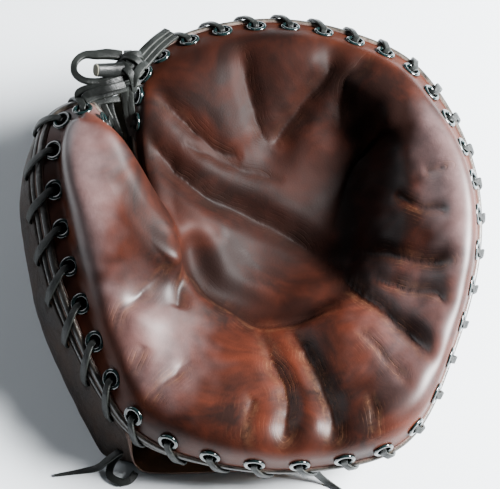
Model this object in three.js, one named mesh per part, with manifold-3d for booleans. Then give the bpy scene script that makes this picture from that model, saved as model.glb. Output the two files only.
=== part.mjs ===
// A first baseman mitt of brown leather, lying on its back with the pocket up and the heel towards -Y.
// Millimetres, +Z up. The laced edge is a closed loop, and the padded palm is lofted from it to a ridge line
// that runs along the top of the thumb, down through the pocket and out to the far side of the rim.
import * as THREE from 'three';
import { mergeVertices } from 'three/addons/utils/BufferGeometryUtils.js';
import Module from 'manifold-3d';

// Overall form
const halfWidth = 138;
const halfLength = 138;
const rimHeight = 100;
const rollReach = 40;

// Leather, padding and the clearance between neighbouring pieces
const palmLeather = 3;
const rimPadding = 14;
const pocketPadding = 8;
const backLeather = 2.5;
const webLeather = 2.2;
const clearance = 0.4;

// The welt: two strips side by side between the palm and the back
const weltWidth = 11;
const weltCrown = 1.3;
const weltCrownAt = 0.75;
const weltValley = 0.5;
const weltDepth = 1.2;

// Lace and eyelets
const laceWidth = 4.4;
const laceThickness = 1.6;
const laceLean = 0.35;
const eyeletRadius = 5.6;
const eyeletHole = 3;
const eyeletHeight = 1.4;
const eyeletSeat = 0.8;
const eyeletLip = 0.75;
const eyeletSides = 8;
const flangeWidth = 2 * eyeletRadius + 1.2;

// Heel opening, in stations of the rim table
const heelOpensAt = 6.0;
const heelClosesAt = 9.3;
const heelEase = 0.8;
const hemReturn = 12;

// Ties
const knotRadius = 8.5;
const tieWidth = 7.5;
const tieThickness = 2;
const loopCord = 4.4;

// How finely the surfaces are divided
const sideColumns = 33;
const rollRows = 4;
const pocketRows = 6;
const liningRollRows = 2;
const liningPocketRows = 3;
const wallRows = 4;
const fineWallRows = 12;
const edgeSamples = 8;

// The palm's roll: how it leaves the flange, how full it is, and how thick its padding may be
const fillDegrees = 20;
const bendDegrees = -5;
const rollLift = 0.4;
const rollLean = 0.5;
const flangeLimit = 0.75;
const reachLimit = 0.8;
const paddingShare = 0.2;
const leastPadding = 1;

// The back's wall: how it leaves the welt, and how full it is
const wallStartDegrees = 15;
const wallFullness = 0.5;

const up = new THREE.Vector3(0, 0, 1);
const share = (percent, size) => (percent / 100) * size;
const named = (columns, rows) =>
  rows.map((row) => Object.fromEntries(columns.map((column, i) => [column, row[i]])));

// The laced edge from the thumb's tip down the outside of the thumb, round the heel, up the far side, over
// the top and down the web side to the crotch, and up the inside of the thumb. across, floorAcross: % of
// halfWidth. along, floorAlong: % of halfLength. welt, crest: heights, % of rimHeight. slope: degrees of the
// welt above the horizontal. reach, belly: % of rollReach. fall: how late the side falls into the pocket.
const rim = named(
  ['across', 'along', 'welt', 'crest', 'slope', 'reach', 'fall', 'floorAcross', 'floorAlong', 'belly'],
  [
    [-70, 46, 91, 101, 45, 50, 1.0, -70, 32, 15],
    [-86, 40, 85, 101, 42, 63, 1.0, -76, 25, 50],
    [-90.5, 20, 77, 100, 40, 82, 1.0, -77, 9, 65],
    [-87.5, 0, 68, 94, 40, 92, 1.0, -77, -8, 65],
    [-80, -29, 57, 84, 43, 99, 1.0, -77, -32, 55],
    [-63, -65, 42, 69, 60, 100, 1.2, -69, -66, 35],
    [-44, -88, 33, 60, 85, 90, 1.6, -55, -91, 10],
    [-12, -98, 28, 57, 105, 83, 1.8, -16, -94, 0],
    [26, -99, 26, 58, 108, 85, 1.8, 26, -88, 0],
    [63, -88, 31, 62, 108, 90, 1.6, 52, -72, -5],
    [84, -50, 42, 68, 104, 97, 1.4, 62, -40, -15],
    [97, -4, 53, 74, 92, 104, 1.2, 62, -3, -20],
    [94.5, 38, 63, 80, 72, 103, 1.1, 58, 22, -20],
    [75, 76, 73, 87, 55, 88, 1.0, 44, 40, -20],
    [45, 93, 78, 91, 47, 80, 1.0, 26, 46, -20],
    [10, 99, 81, 94, 45, 74, 1.0, 6, 48, -20],
    [-25, 92, 82, 94, 45, 70, 1.0, -13, 46, -20],
    [-46, 75, 82, 92, 50, 66, 1.0, -26, 41, -15],
    [-50.5, 52, 75, 84, 68, 60, 1.0, -32, 34, -10],
    [-48, 28, 58, 69, 68, 50, 1.0, -33, 18, -5],
    [-34, -6, 42, 68, 112, 30, 1.0, -37, -12, 0],
    [-48.5, 13, 60, 92, 122, 42, 1.0, -52, 4, 0],
    [-57, 28, 78, 100, 110, 42, 1.0, -59, 17, 0],
    [-63, 41, 88, 102, 70, 44, 1.0, -64, 27, 0],
  ],
);

// The ridge line where the two sides of the palm meet: along the thumb, down into the pocket and out again.
const ridge = named(
  ['across', 'along', 'height'],
  [
    [-71, 31, 102],
    [-70.5, 28, 104],
    [-67, 19, 103],
    [-60, 4, 98],
    [-46, -13, 85],
    [-25, -28, 58],
    [-4, -28, 42],
    [11, -18, 35],
    [25, -6, 33],
    [35, 9, 34],
    [40, 23, 38],
    [43, 33, 44],
    [48, 42, 52],
  ],
);
const far = ridge.length - 1;

// The main folds. depth, width: % of rollReach. Each path point is across, along and height in %.
const folds = [
  { depth: 14, width: 32, path: [[-46, 41, 70], [-33, 24, 77], [0, 12, 49], [22, 5, 35], [37, -9, 40]] },
  { depth: 16, width: 32, path: [[38, 83, 90], [34, 67, 89], [25, 57, 78], [11, 38, 64]] },
  { depth: 13, width: 32, path: [[75, -63, 59], [65, -52, 64], [45, -26, 54], [36, -11, 41]] },
  { depth: 13, width: 32, path: [[30, -100, 39], [33, -84, 57], [24, -58, 58], [16, -43, 53]] },
  { depth: 12, width: 32, path: [[14, -101, 38], [15, -82, 56], [10, -62, 57], [4, -41, 50]] },
  { depth: 8, width: 32, path: [[-43, 57, 88], [-27, 42, 85], [-13, 33, 72], [-2, 33, 65]] },
  { depth: 8, width: 32, path: [[-5, 86, 93], [-1, 65, 90], [4, 48, 76], [11, 38, 64]] },
  { depth: 8, width: 32, path: [[56, 85, 81], [49, 70, 90], [41, 62, 86], [40, 48, 66]] },
  { depth: 8, width: 32, path: [[91, -22, 62], [76, -20, 69], [60, -14, 65], [44, -4, 44]] },
  { depth: 8, width: 32, path: [[80, -41, 64], [76, -34, 67], [62, -29, 66], [49, -19, 55]] },
  { depth: 9, width: 32, path: [[-29, -16, 61], [-36, -28, 70], [-51, -42, 72], [-54, -49, 68]] },
];

// Stretches of lacing between stations of the rim table, each with its number of eyelets.
const laceRuns = named(
  ['from', 'to', 'count'],
  [
    [-1.45, 1.68, 3],
    [1.68, 8.3, 12],
    [8.3, 16.76, 21],
    [16.76, 18.7, 4],
  ],
);

// Free routes and the knot, each point across, along and height in %.
const knotPlace = [-54, 59.5, 98];
const knotWraps = named(
  ['long', 'broad', 'thick', 'turn'],
  [
    [1, 0.72, 0.62, 0],
    [0.72, 0.98, 0.7, 0.5],
    [0.8, 0.66, 0.86, -0.6],
  ],
);
const strandPieces = { tie: 6, loop: 18, heelTie: 24, heelTail: 10 };
const routes = {
  thumbTie: [[-79, 50, 92.8], [-71, 52.5, 95.2], [-61, 57, 96.2]],
  bodyTie: [[-51.4, 64, 98], [-45, 75, 95], [-39.5, 85, 91.6]],
  loop: [[-59.2, 57.2, 99.7], [-65.5, 54, 101.5], [-72.5, 56, 102], [-75, 61, 102], [-71, 66, 102],
    [-64, 66, 101.5], [-58.3, 63.6, 99.7]],
  heelTie: [[-82, -95.3, 1.1], [-71, -93.5, 1.1], [-63.8, -92.4, 3], [-59.8, -90.6, 7.5], [-55, -87.3, 9],
    [-54, -86.6, 6.5], [-57.2, -89.9, 4.8], [-58.7, -93.5, 3.2], [-58, -96.4, 2.4], [-53.6, -98.6, 2.2],
    [-50, -97.5, 2.2], [-47.8, -94.2, 2.2]],
  heelTail: [[26, -96.6, 17], [28, -97, 9], [32, -98.5, 2.4], [40, -103.5, 1.3]],
};

const wasm = await Module();
wasm.setup();

// Smooth blend between the rows of a table.
function blend(rows, station, closed) {
  const count = rows.length;
  const first = closed ? Math.floor(station) : Math.min(Math.floor(station), count - 2);
  const f = station - first;
  const row = (i) => rows[closed ? ((i % count) + count) % count : Math.min(Math.max(i, 0), count - 1)];
  const [a, b, c, d] = [row(first - 1), row(first), row(first + 1), row(first + 2)];
  const mixed = {};
  for (const key of Object.keys(b)) {
    const linear = (c[key] - a[key]) * f;
    const square = (2 * a[key] - 5 * b[key] + 4 * c[key] - d[key]) * f * f;
    const cube = (3 * b[key] - a[key] - 3 * c[key] + d[key]) * f * f * f;
    mixed[key] = (2 * b[key] + linear + square + cube) / 2;
  }
  return mixed;
}

const smooth = (x) => THREE.MathUtils.smoothstep(x, 0, 1);
const place = ([across, along, height]) =>
  new THREE.Vector3(share(across, halfWidth), share(along, halfLength), share(height, rimHeight));

// How far the back still hangs on the welt: 1 where it is laced, 0 where it lies open at the heel.
function hemAt(station) {
  const opened = smooth((station - heelOpensAt) / heelEase);
  const closed = smooth((station - heelClosesAt + heelEase) / heelEase);
  return 1 - opened * (1 - closed);
}

// The laced edge itself, and the direction that it runs in.
const wrapped = (station) => ((station % rim.length) + rim.length) % rim.length;
function edgeAt(station) {
  const row = blend(rim, wrapped(station), true);
  return place([row.across, row.along, row.welt]);
}
const tangentStep = 0.05;
const tangentAt = (station) =>
  edgeAt(station + tangentStep).sub(edgeAt(station - tangentStep)).normalize();

// Everything that the pieces need to know at one station of the laced edge.
function sectionAt(station) {
  const t = wrapped(station);
  const row = blend(rim, t, true);
  const ridgeRow = blend(ridge, t <= far ? t : 2 * far - t, false);
  const edge = place([row.across, row.along, row.welt]);
  const spine = place([ridgeRow.across, ridgeRow.along, ridgeRow.height]);
  const inward = spine.clone().sub(edge).setZ(0);
  const span = inward.length();
  inward.normalize();
  const degrees = (angle) => THREE.MathUtils.degToRad(row.slope + angle);
  const along = (angle) =>
    inward.clone().multiplyScalar(Math.cos(degrees(angle))).addScaledVector(up, Math.sin(degrees(angle)));
  const tangent = tangentAt(t);
  const normal = (angle) => tangent.clone().cross(along(angle)).normalize();
  return {
    edge,
    spine,
    inward,
    span,
    tangent,
    along,
    normal,
    crest: share(row.crest, rimHeight),
    reach: Math.min(share(row.reach, rollReach), reachLimit * span),
    fall: row.fall,
    floor: place([row.floorAcross, row.floorAlong, 0]),
    belly: share(row.belly, rollReach),
    hem: hemAt(t),
  };
}

function cubic(a, b, c, d, t) {
  const s = 1 - t;
  return a.clone().multiplyScalar(s * s * s).addScaledVector(b, 3 * s * s * t)
    .addScaledVector(c, 3 * s * t * t).addScaledVector(d, t * t * t);
}

// Depth of the folds at a point of the palm.
const foldLines = folds.map((fold) => ({
  depth: share(fold.depth, rollReach),
  width: share(fold.width, rollReach),
  segments: fold.path.slice(1).map((end, i) => new THREE.Line3(place(fold.path[i]), place(end))),
}));
function foldDepth(point) {
  let depth = 0;
  for (const fold of foldLines) {
    const gaps = fold.segments.map((line) =>
      line.closestPointToPoint(point, true, new THREE.Vector3()).distanceTo(point));
    depth += fold.depth * Math.exp(-((Math.min(...gaps) / fold.width) ** 2));
  }
  return depth;
}

// One section of the palm's outer face, from the welt over the padded roll and down to the ridge line, with
// the thickness of leather and padding below each point.
function palmSection(section, rollSteps, pocketSteps) {
  const { edge, inward, along, crest, reach, fall, span, spine } = section;
  const start = edge.clone().addScaledVector(along(0), weltWidth / 2 + clearance);
  const top = edge.clone().addScaledVector(inward, reach).setZ(crest);
  const flange = Math.min(flangeWidth, flangeLimit * start.distanceTo(top));
  const bend = start.clone().addScaledVector(along(-fillDegrees), flange);
  const rest = bend.distanceTo(top);
  const lift = bend.clone().addScaledVector(along(bendDegrees), rollLift * rest);
  const lean = top.clone().addScaledVector(inward, -rollLean * rest);
  const padding = Math.min(rimPadding, paddingShare * (reach + crest - edge.z) + leastPadding);
  const points = [{ point: start, depth: palmLeather }];
  for (let i = 0; i <= rollSteps; i += 1) {
    const q = i / rollSteps;
    points.push({
      point: cubic(bend, lift, lean, top, q),
      depth: palmLeather + (padding - palmLeather) * smooth(q),
    });
  }
  for (let i = 1; i <= pocketSteps; i += 1) {
    const q = i / pocketSteps;
    const drop = smooth(q ** fall);
    const point = edge.clone().addScaledVector(inward, reach + (span - reach) * q);
    point.z = crest + (spine.z - crest) * drop;
    points.push({ point, depth: padding + (pocketPadding - padding) * drop });
  }
  points.forEach((entry, i) => {
    const before = points[Math.max(i - 1, 0)].point;
    const after = points[Math.min(i + 1, points.length - 1)].point;
    const run = after.clone().sub(before);
    const flat = Math.hypot(run.x, run.y);
    entry.normal = up.clone().multiplyScalar(flat).addScaledVector(inward, -run.z).normalize();
  });
  points[0].normal = section.normal(0);
  points[points.length - 1].normal = up.clone();
  return points;
}

// Faces between two rows of points that run the same way, with the outer side to the left of the run.
function strip(faces, rowA, rowB) {
  for (let i = 0; i + 1 < rowA.length; i += 1) {
    faces.push([rowA[i], rowA[i + 1], rowB[i + 1]], [rowA[i], rowB[i + 1], rowB[i]]);
  }
}

function geometryOf(faces) {
  const geometry = new THREE.BufferGeometry();
  const numbers = [];
  for (const [a, b, c] of faces) {
    if (a.distanceTo(b) > 1e-3 && b.distanceTo(c) > 1e-3 && c.distanceTo(a) > 1e-3) {
      numbers.push(...a.toArray(), ...b.toArray(), ...c.toArray());
    }
  }
  geometry.setAttribute('position', new THREE.Float32BufferAttribute(numbers, 3));
  return mergeVertices(geometry, 1e-3);
}

// A sheet over the whole loop: rows[side][row][column]. Both sides share their last row and end columns.
function bothSides(makeSection) {
  const sides = [1, -1].map((sign) => {
    const sections = [];
    for (let i = 0; i <= sideColumns; i += 1) {
      const s = (far * i) / sideColumns;
      sections.push(makeSection(sectionAt(sign > 0 ? s : rim.length - s)));
    }
    return sections[0].map((_, row) => sections.map((section) => section[row]));
  });
  return sides;
}

function sheetFaces(faces, sides, upwards) {
  sides.forEach((rows, side) => {
    for (let row = 0; row + 1 < rows.length; row += 1) {
      if ((side === 0) === upwards) strip(faces, rows[row], rows[row + 1]);
      else strip(faces, rows[row + 1], rows[row]);
    }
  });
}

function rimFaces(faces, upper, lower) {
  strip(faces, lower[0][0], upper[0][0]);
  strip(faces, upper[1][0], lower[1][0]);
}

// The palm and thumb: one padded piece.
function palmGeometry() {
  const faces = [];
  const press = ({ point, normal }, depth) =>
    point.clone().addScaledVector(normal, -depth - foldDepth(point) * fadeAtFlange(point));
  const outer = bothSides((section) =>
    palmSection(section, rollRows, pocketRows).map((entry) => press(entry, 0)));
  const inner = bothSides((section) =>
    palmSection(section, liningRollRows, liningPocketRows).map((entry) => press(entry, entry.depth)));
  sheetFaces(faces, outer, true);
  sheetFaces(faces, inner, false);
  rimFaces(faces, outer, inner);
  return geometryOf(faces);
}

// Folds stay clear of the laced edge.
const edgeLoop = [];
for (let i = 0; i < rim.length * edgeSamples; i += 1) edgeLoop.push(sectionAt(i / edgeSamples).edge);
function fadeAtFlange(point) {
  const distance = Math.min(...edgeLoop.map((edge) => edge.distanceTo(point)));
  return smooth((distance - flangeWidth - weltWidth / 2) / flangeWidth);
}

// The back: a shell from the welt down to the floor, flat underneath and open at the heel.
function wallSection(section, steps, depth) {
  const { edge, floor, inward, along, belly, hem } = section;
  const start = edge.clone().addScaledVector(along(0), -weltWidth / 2 - clearance);
  const head = floor.clone().lerp(start, hem);
  const fallLength = wallFullness * edge.z * hem;
  const shoulder = head.clone().addScaledVector(along(wallStartDegrees), -fallLength);
  const bottom = floor.clone().addScaledVector(inward, (hemReturn / 2) * (1 - hem) - belly * hem);
  const foot = floor.clone().addScaledVector(inward, hemReturn * (1 - hem));
  const inside = (angle, weight) => up.clone().lerp(section.normal(angle).negate(), weight).normalize();
  head.addScaledVector(inside(0, hem), depth);
  shoulder.addScaledVector(inside(wallStartDegrees, hem), depth);
  for (const point of [bottom, foot]) point.addScaledVector(up, depth).addScaledVector(inward, depth * hem);
  const points = [];
  for (let i = 0; i <= steps; i += 1) points.push(cubic(head, shoulder, bottom, foot, i / steps));
  return points;
}

function backGeometry() {
  const faces = [];
  const outer = bothSides((section) => wallSection(section, wallRows, 0));
  const inner = bothSides((section) => wallSection(section, wallRows, backLeather));
  sheetFaces(faces, outer, false);
  sheetFaces(faces, inner, true);
  rimFaces(faces, inner, outer);
  strip(faces, outer[1][wallRows], outer[0][wallRows]);
  strip(faces, inner[0][wallRows], inner[1][wallRows]);
  return geometryOf(faces);
}

// A closed band that follows the loop with one section, given as (along the welt, outwards) pairs.
function weltGeometry() {
  const half = weltWidth / 2;
  const crown = weltCrownAt * half;
  const profile = [[-half, -weltDepth], [-crown, weltCrown], [0, weltValley], [crown, weltCrown],
    [half, -weltDepth]];
  const columns = 2 * sideColumns;
  const rows = profile.map(([along, out]) => {
    const row = [];
    for (let i = 0; i <= columns; i += 1) {
      const section = sectionAt((rim.length * (i % columns)) / columns);
      row.push(section.edge.clone().addScaledVector(section.along(0), along)
        .addScaledVector(section.normal(0), out));
    }
    return row;
  });
  const faces = [];
  rows.forEach((row, i) => strip(faces, row, rows[(i + 1) % rows.length]));
  return geometryOf(faces);
}

// A flat strand along a list of {point, wide}, where wide is the direction of its width.
const mitreLimit = 1.6;
function strandGeometry(route, width, thickness) {
  const corners = [[-1, -1], [1, -1], [1, 1], [-1, 1]];
  const rings = route.map(({ point, wide }, i) => {
    const before = i > 0 ? point.clone().sub(route[i - 1].point).normalize() : null;
    const after = i + 1 < route.length ? route[i + 1].point.clone().sub(point).normalize() : null;
    const run = (before ?? after).clone().add(after ?? before).normalize();
    const mitre = Math.min(1 / run.dot(after ?? before), mitreLimit);
    const side = wide.clone().addScaledVector(run, -wide.dot(run)).normalize();
    const thick = side.clone().cross(run).normalize();
    return corners.map(([w, h]) =>
      point.clone().addScaledVector(side, (w * width) / 2).addScaledVector(thick, (h * thickness * mitre) / 2));
  });
  const faces = [];
  corners.forEach((_, i) => {
    const next = (i + 1) % corners.length;
    strip(faces, rings.map((ring) => ring[i]), rings.map((ring) => ring[next]));
  });
  const [first, last] = [rings[0], rings[rings.length - 1]];
  faces.push([first[0], first[1], first[2]], [first[0], first[2], first[3]]);
  faces.push([last[0], last[2], last[1]], [last[0], last[3], last[2]]);
  return geometryOf(faces);
}

// Lengths along the laced edge, so that eyelets are spaced evenly.
const lengthSteps = 40;
const lengths = [0];
for (let i = 1; i <= rim.length * lengthSteps; i += 1) {
  const here = sectionAt(i / lengthSteps).edge;
  lengths.push(lengths[i - 1] + here.distanceTo(sectionAt((i - 1) / lengthSteps).edge));
}
const loopLength = lengths[lengths.length - 1];
function lengthAt(station) {
  const turns = Math.floor(station / rim.length);
  const index = (station - turns * rim.length) * lengthSteps;
  const low = Math.floor(index);
  const high = Math.min(low + 1, lengths.length - 1);
  return turns * loopLength + lengths[low] + (lengths[high] - lengths[low]) * (index - low);
}
function stationAt(length) {
  const turns = Math.floor(length / loopLength);
  const rest = length - turns * loopLength;
  const high = Math.max(lengths.findIndex((value) => value >= rest), 1);
  const low = high - 1;
  return turns * rim.length + (low + (rest - lengths[low]) / (lengths[high] - lengths[low])) / lengthSteps;
}

const holes = [];
for (const run of laceRuns) {
  const [from, to] = [lengthAt(run.from), lengthAt(run.to)];
  const pitch = (to - from) / run.count;
  for (let i = 0; i < run.count; i += 1) holes.push({ length: from + pitch * i, pitch });
}

const eyeletInset = weltWidth / 2 + clearance + flangeWidth / 2;
function palmHole(station) {
  const columnWidth = far / sideColumns;
  const low = Math.floor(station / columnWidth) * columnWidth;
  const [a, b] = [low, low + columnWidth].map((column) => {
    const section = sectionAt(column);
    const start = section.edge.clone().addScaledVector(section.along(0), weltWidth / 2 + clearance);
    return { start, bend: start.clone().addScaledVector(section.along(-fillDegrees), flangeWidth) };
  });
  const start = a.start.clone().lerp(b.start, (station - low) / columnWidth);
  const bend = a.bend.clone().lerp(b.bend, (station - low) / columnWidth);
  const run = b.start.clone().sub(a.start).add(b.bend).sub(a.bend);
  return { point: start.lerp(bend, 0.5), normal: run.cross(bend.clone().sub(start)).normalize() };
}

// The whip lace: up through an eyelet, over the welt, down through the back a little further on, and inside.
const laceSlack = 0.3;
const laceInside = 1;
const eyeletClearance = 1.4;
const laceOver = weltCrown + 2 * clearance + laceThickness / 2 + laceSlack;
const laceAboveEyelet = eyeletSeat + eyeletHeight + eyeletClearance + laceThickness / 2;
const laceUnder = clearance + laceThickness / 2 + laceInside;
const laceCrossings = [0, 0.33, 0.67, 1];
const fullyLaced = 0.995;
function laceTurn({ length, pitch }) {
  const at = (turn) => stationAt(length + pitch * laceLean * turn);
  const [stationA, stationB, stationC, stationD] = laceCrossings.map(at);
  const hole = palmHole(stationA);
  const over = (station, along, out) => {
    const section = sectionAt(station);
    const point = section.edge.clone().addScaledVector(section.along(0), along)
      .addScaledVector(section.normal(0), out);
    return { point, wide: tangentAt(station) };
  };
  const wide = tangentAt(stationA);
  const turn = [
    { point: hole.point.clone().addScaledVector(hole.normal, -palmLeather - laceUnder), wide },
    { point: hole.point.clone().addScaledVector(hole.normal, laceAboveEyelet), wide },
    over(stationB, weltWidth / 2, laceOver),
    over(stationC, -weltWidth / 2, laceOver),
  ];
  const end = sectionAt(stationD);
  if (end.hem > fullyLaced) {
    const wall = wallSection(end, fineWallRows, 0);
    const down = wall[1].clone().sub(wall[0]).normalize();
    const point = wall[0].clone().addScaledVector(down, eyeletInset - weltWidth / 2);
    const out = down.clone().cross(tangentAt(stationD)).normalize();
    if (out.dot(end.normal(0)) < 0) out.negate();
    turn.push(
      { point: point.clone().addScaledVector(out, laceOver), wide: tangentAt(stationD) },
      { point: point.clone().addScaledVector(out, -backLeather - laceUnder), wide: tangentAt(stationD) },
    );
  } else {
    const below = -weltWidth / 2 - clearance - laceThickness;
    turn.push(over(stationD, below, laceOver / 2), over(stationD, below, -weltDepth - laceUnder));
  }
  return turn;
}
const laceRoute = holes.flatMap(laceTurn);

// The web: a strip of suede hung between the thumb and the body, under the two welts.
const webRows = 6;
const webDrop = 20;
const webStations = { thumbLow: 21.7, thumbHigh: 23.5, bodyLow: 19.1, bodyHigh: 17.35 };
function webGeometry() {
  const side = (station) => {
    const section = sectionAt(station);
    const wall = wallSection(section, fineWallRows, 0);
    const down = wall[2].clone().sub(wall[0]).normalize();
    return wall[0].clone().addScaledVector(down, webDrop - weltWidth / 2);
  };
  const rows = [];
  for (let i = 0; i <= webRows; i += 1) {
    const q = i / webRows;
    const thumb = side(THREE.MathUtils.lerp(webStations.thumbLow, webStations.thumbHigh, q));
    const body = side(THREE.MathUtils.lerp(webStations.bodyLow, webStations.bodyHigh, q));
    const across = body.clone().sub(thumb).normalize();
    thumb.addScaledVector(across, 2 * clearance + laceOver);
    body.addScaledVector(across, -2 * clearance - laceOver);
    rows.push([thumb, thumb.clone().lerp(body, 0.5).addScaledVector(up, -webLeather), body]);
  }
  const faces = [];
  const lower = rows.map((row) => row.map((point) => point.clone().addScaledVector(up, -webLeather)));
  for (let i = 0; i < webRows; i += 1) {
    strip(faces, rows[i], rows[i + 1]);
    strip(faces, lower[i + 1], lower[i]);
  }
  strip(faces, lower[0], rows[0]);
  strip(faces, rows[webRows], lower[webRows]);
  strip(faces, rows.map((row) => row[0]), lower.map((row) => row[0]));
  strip(faces, lower.map((row) => row[2]), rows.map((row) => row[2]));
  return geometryOf(faces);
}

// Ties of the same lace.
function freeStrand(route, width, thickness, samples) {
  const curve = new THREE.CatmullRomCurve3(route.map(place), false, 'centripetal');
  const wide = curve.getTangent(0).cross(up).normalize();
  return strandGeometry(curve.getPoints(samples).map((point, i) => {
    const run = curve.getTangent(i / samples);
    wide.addScaledVector(run, -run.dot(wide)).normalize();
    return { point, wide: wide.clone() };
  }), width, thickness);
}

const solidOf = (geometry) =>
  new wasm.Manifold(new wasm.Mesh({
    numProp: 3,
    vertProperties: geometry.getAttribute('position').array,
    triVerts: new Uint32Array(geometry.index.array),
  }));
function geometryFrom(solid) {
  const mesh = solid.getMesh();
  const geometry = new THREE.BufferGeometry();
  geometry.setAttribute('position', new THREE.BufferAttribute(mesh.vertProperties, 3));
  geometry.setIndex(new THREE.BufferAttribute(mesh.triVerts, 1));
  return geometry;
}

// What is left of a piece once the offcuts of its holes are gone.
const mainBody = (solid) =>
  solid.decompose().reduce((most, body) => (body.volume() > most.volume() ? body : most));

// The knot: three short wraps of lace fused into one lump.
function knotGeometry() {
  let knot = null;
  for (const { long, broad, thick, turn } of knotWraps) {
    const wrap = new THREE.SphereGeometry(knotRadius, 8, 5).deleteAttribute('normal').deleteAttribute('uv');
    wrap.scale(long, broad, thick);
    wrap.rotateZ(turn);
    const solid = solidOf(mergeVertices(wrap, 1e-3));
    knot = knot ? knot.add(solid) : solid;
  }
  const geometry = geometryFrom(knot);
  geometry.translate(...place(knotPlace).toArray());
  return geometry;
}

// Ring of one eyelet, seated on the palm's flange.
function eyeletMesh(hole) {
  const lip = eyeletLip * eyeletRadius;
  const profile = [[eyeletHole, 0], [eyeletRadius, 0], [lip, eyeletHeight], [eyeletHole, 0]]
    .map(([radius, height]) => new THREE.Vector2(radius, height));
  const geometry = new THREE.LatheGeometry(profile, eyeletSides).rotateX(Math.PI / 2);
  const { point, normal } = palmHole(stationAt(hole.length));
  const mesh = new THREE.Mesh(geometry, eyeletMetal);
  mesh.position.copy(point).addScaledVector(normal, eyeletSeat);
  mesh.quaternion.setFromUnitVectors(up, normal);
  return mesh;
}

const leather = (color, roughness) => new THREE.MeshStandardMaterial({ color, roughness, metalness: 0 });
const palmBrown = leather(0x4a2a20, 0.42);
const backBrown = leather(0x33221c, 0.6);
const weltBrown = leather(0x3a2f28, 0.55);
const laceBlack = leather(0x1f2422, 0.45);
const webSuede = leather(0x55574c, 0.9);
const eyeletMetal = new THREE.MeshStandardMaterial({ color: 0x14211f, roughness: 0.3, metalness: 0.6 });

const group = new THREE.Group();
function add(name, geometry, material) {
  const mesh = new THREE.Mesh(geometry, material);
  mesh.name = name;
  group.add(mesh);
}

const [roomWidth, roomThickness] = [laceWidth, laceThickness].map((size) => size + 2 * clearance);
const room = solidOf(strandGeometry(laceRoute, roomWidth, roomThickness));
const tieRoom = solidOf(freeStrand(routes.heelTie, roomWidth, roomThickness, strandPieces.heelTie));
const cutFrom = (geometry, ...cutters) =>
  geometryFrom(mainBody(cutters.reduce((solid, cutter) => solid.subtract(cutter), solidOf(geometry))));
add('palm', cutFrom(palmGeometry(), room), palmBrown);
add('back', cutFrom(backGeometry(), room, tieRoom), backBrown);
add('edge_welt', weltGeometry(), weltBrown);
add('web', webGeometry(), webSuede);
add('lace', strandGeometry(laceRoute, laceWidth, laceThickness), laceBlack);
add('thumb_tie', freeStrand(routes.thumbTie, tieWidth, tieThickness, strandPieces.tie), laceBlack);
add('body_tie', freeStrand(routes.bodyTie, tieWidth, tieThickness, strandPieces.tie), laceBlack);
add('tie_knot', knotGeometry(), laceBlack);
add('tie_loop', freeStrand(routes.loop, loopCord, loopCord, strandPieces.loop), laceBlack);
add('heel_tie', freeStrand(routes.heelTie, laceWidth, laceThickness, strandPieces.heelTie), laceBlack);
add('heel_tail', freeStrand(routes.heelTail, laceWidth, laceThickness, strandPieces.heelTail), laceBlack);
holes.forEach((hole, i) => {
  const mesh = eyeletMesh(hole);
  mesh.name = `eyelet_${String(i + 1).padStart(2, '0')}`;
  group.add(mesh);
});

// The origin is the middle of the box, on the floor.
const box = new THREE.Box3().setFromObject(group);
group.position.set(-(box.min.x + box.max.x) / 2, -(box.min.y + box.max.y) / 2, -box.min.z);

export default group;
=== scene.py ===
# %% [markdown]
# A vintage first baseman mitt, lying on its back with the pocket up.
#
# The mitt is a loft. A laced edge runs round it as a closed loop, and the padded palm rises from that edge,
# rolls over and falls to a ridge line in the pocket. The same tables that gave the solid frame give the fine
# skin here, so the skin needs no fitting. Lengths are millimetres until a mesh is made, and then metres.

# %% Load the frame
import math
from types import SimpleNamespace

import bmesh
import bpy
import numpy as np
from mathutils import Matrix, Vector, noise


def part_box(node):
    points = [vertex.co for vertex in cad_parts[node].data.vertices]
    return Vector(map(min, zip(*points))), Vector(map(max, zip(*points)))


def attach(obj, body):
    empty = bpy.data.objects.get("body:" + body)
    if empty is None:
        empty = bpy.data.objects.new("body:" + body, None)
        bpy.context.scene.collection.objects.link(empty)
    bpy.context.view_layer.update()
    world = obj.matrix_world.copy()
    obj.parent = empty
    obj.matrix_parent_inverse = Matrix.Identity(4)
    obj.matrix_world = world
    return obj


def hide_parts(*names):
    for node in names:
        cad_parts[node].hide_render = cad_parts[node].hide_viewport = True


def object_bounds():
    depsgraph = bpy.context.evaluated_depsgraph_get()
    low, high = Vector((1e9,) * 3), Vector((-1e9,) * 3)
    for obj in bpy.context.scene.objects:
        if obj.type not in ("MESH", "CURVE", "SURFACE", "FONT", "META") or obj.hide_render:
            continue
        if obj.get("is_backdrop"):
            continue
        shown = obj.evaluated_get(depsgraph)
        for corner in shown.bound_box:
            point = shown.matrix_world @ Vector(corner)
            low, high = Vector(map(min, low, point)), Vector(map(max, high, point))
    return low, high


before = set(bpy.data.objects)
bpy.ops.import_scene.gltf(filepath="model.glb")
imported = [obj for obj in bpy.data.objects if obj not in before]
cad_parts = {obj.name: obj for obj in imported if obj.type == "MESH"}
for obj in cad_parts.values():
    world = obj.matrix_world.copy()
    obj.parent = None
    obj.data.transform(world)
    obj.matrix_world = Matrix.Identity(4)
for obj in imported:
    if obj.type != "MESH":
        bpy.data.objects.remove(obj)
cad_box = [list(corner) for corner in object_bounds()]
mm = 0.001
print("frame nodes", len(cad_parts), "box in metres", cad_box)

# %% [markdown]
# The driving sizes and the two tables. Each rim row is one section of the mitt, round the laced edge: from
# the thumb's tip down its outer side, round the heel, up the far side, over the top, down the web side to
# the crotch and up the inside of the thumb. The ridge rows follow the top of the thumb, the pocket and the
# way out. A sculpted mesh could do the same, but in a table one number moves one place of the real edge.

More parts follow.
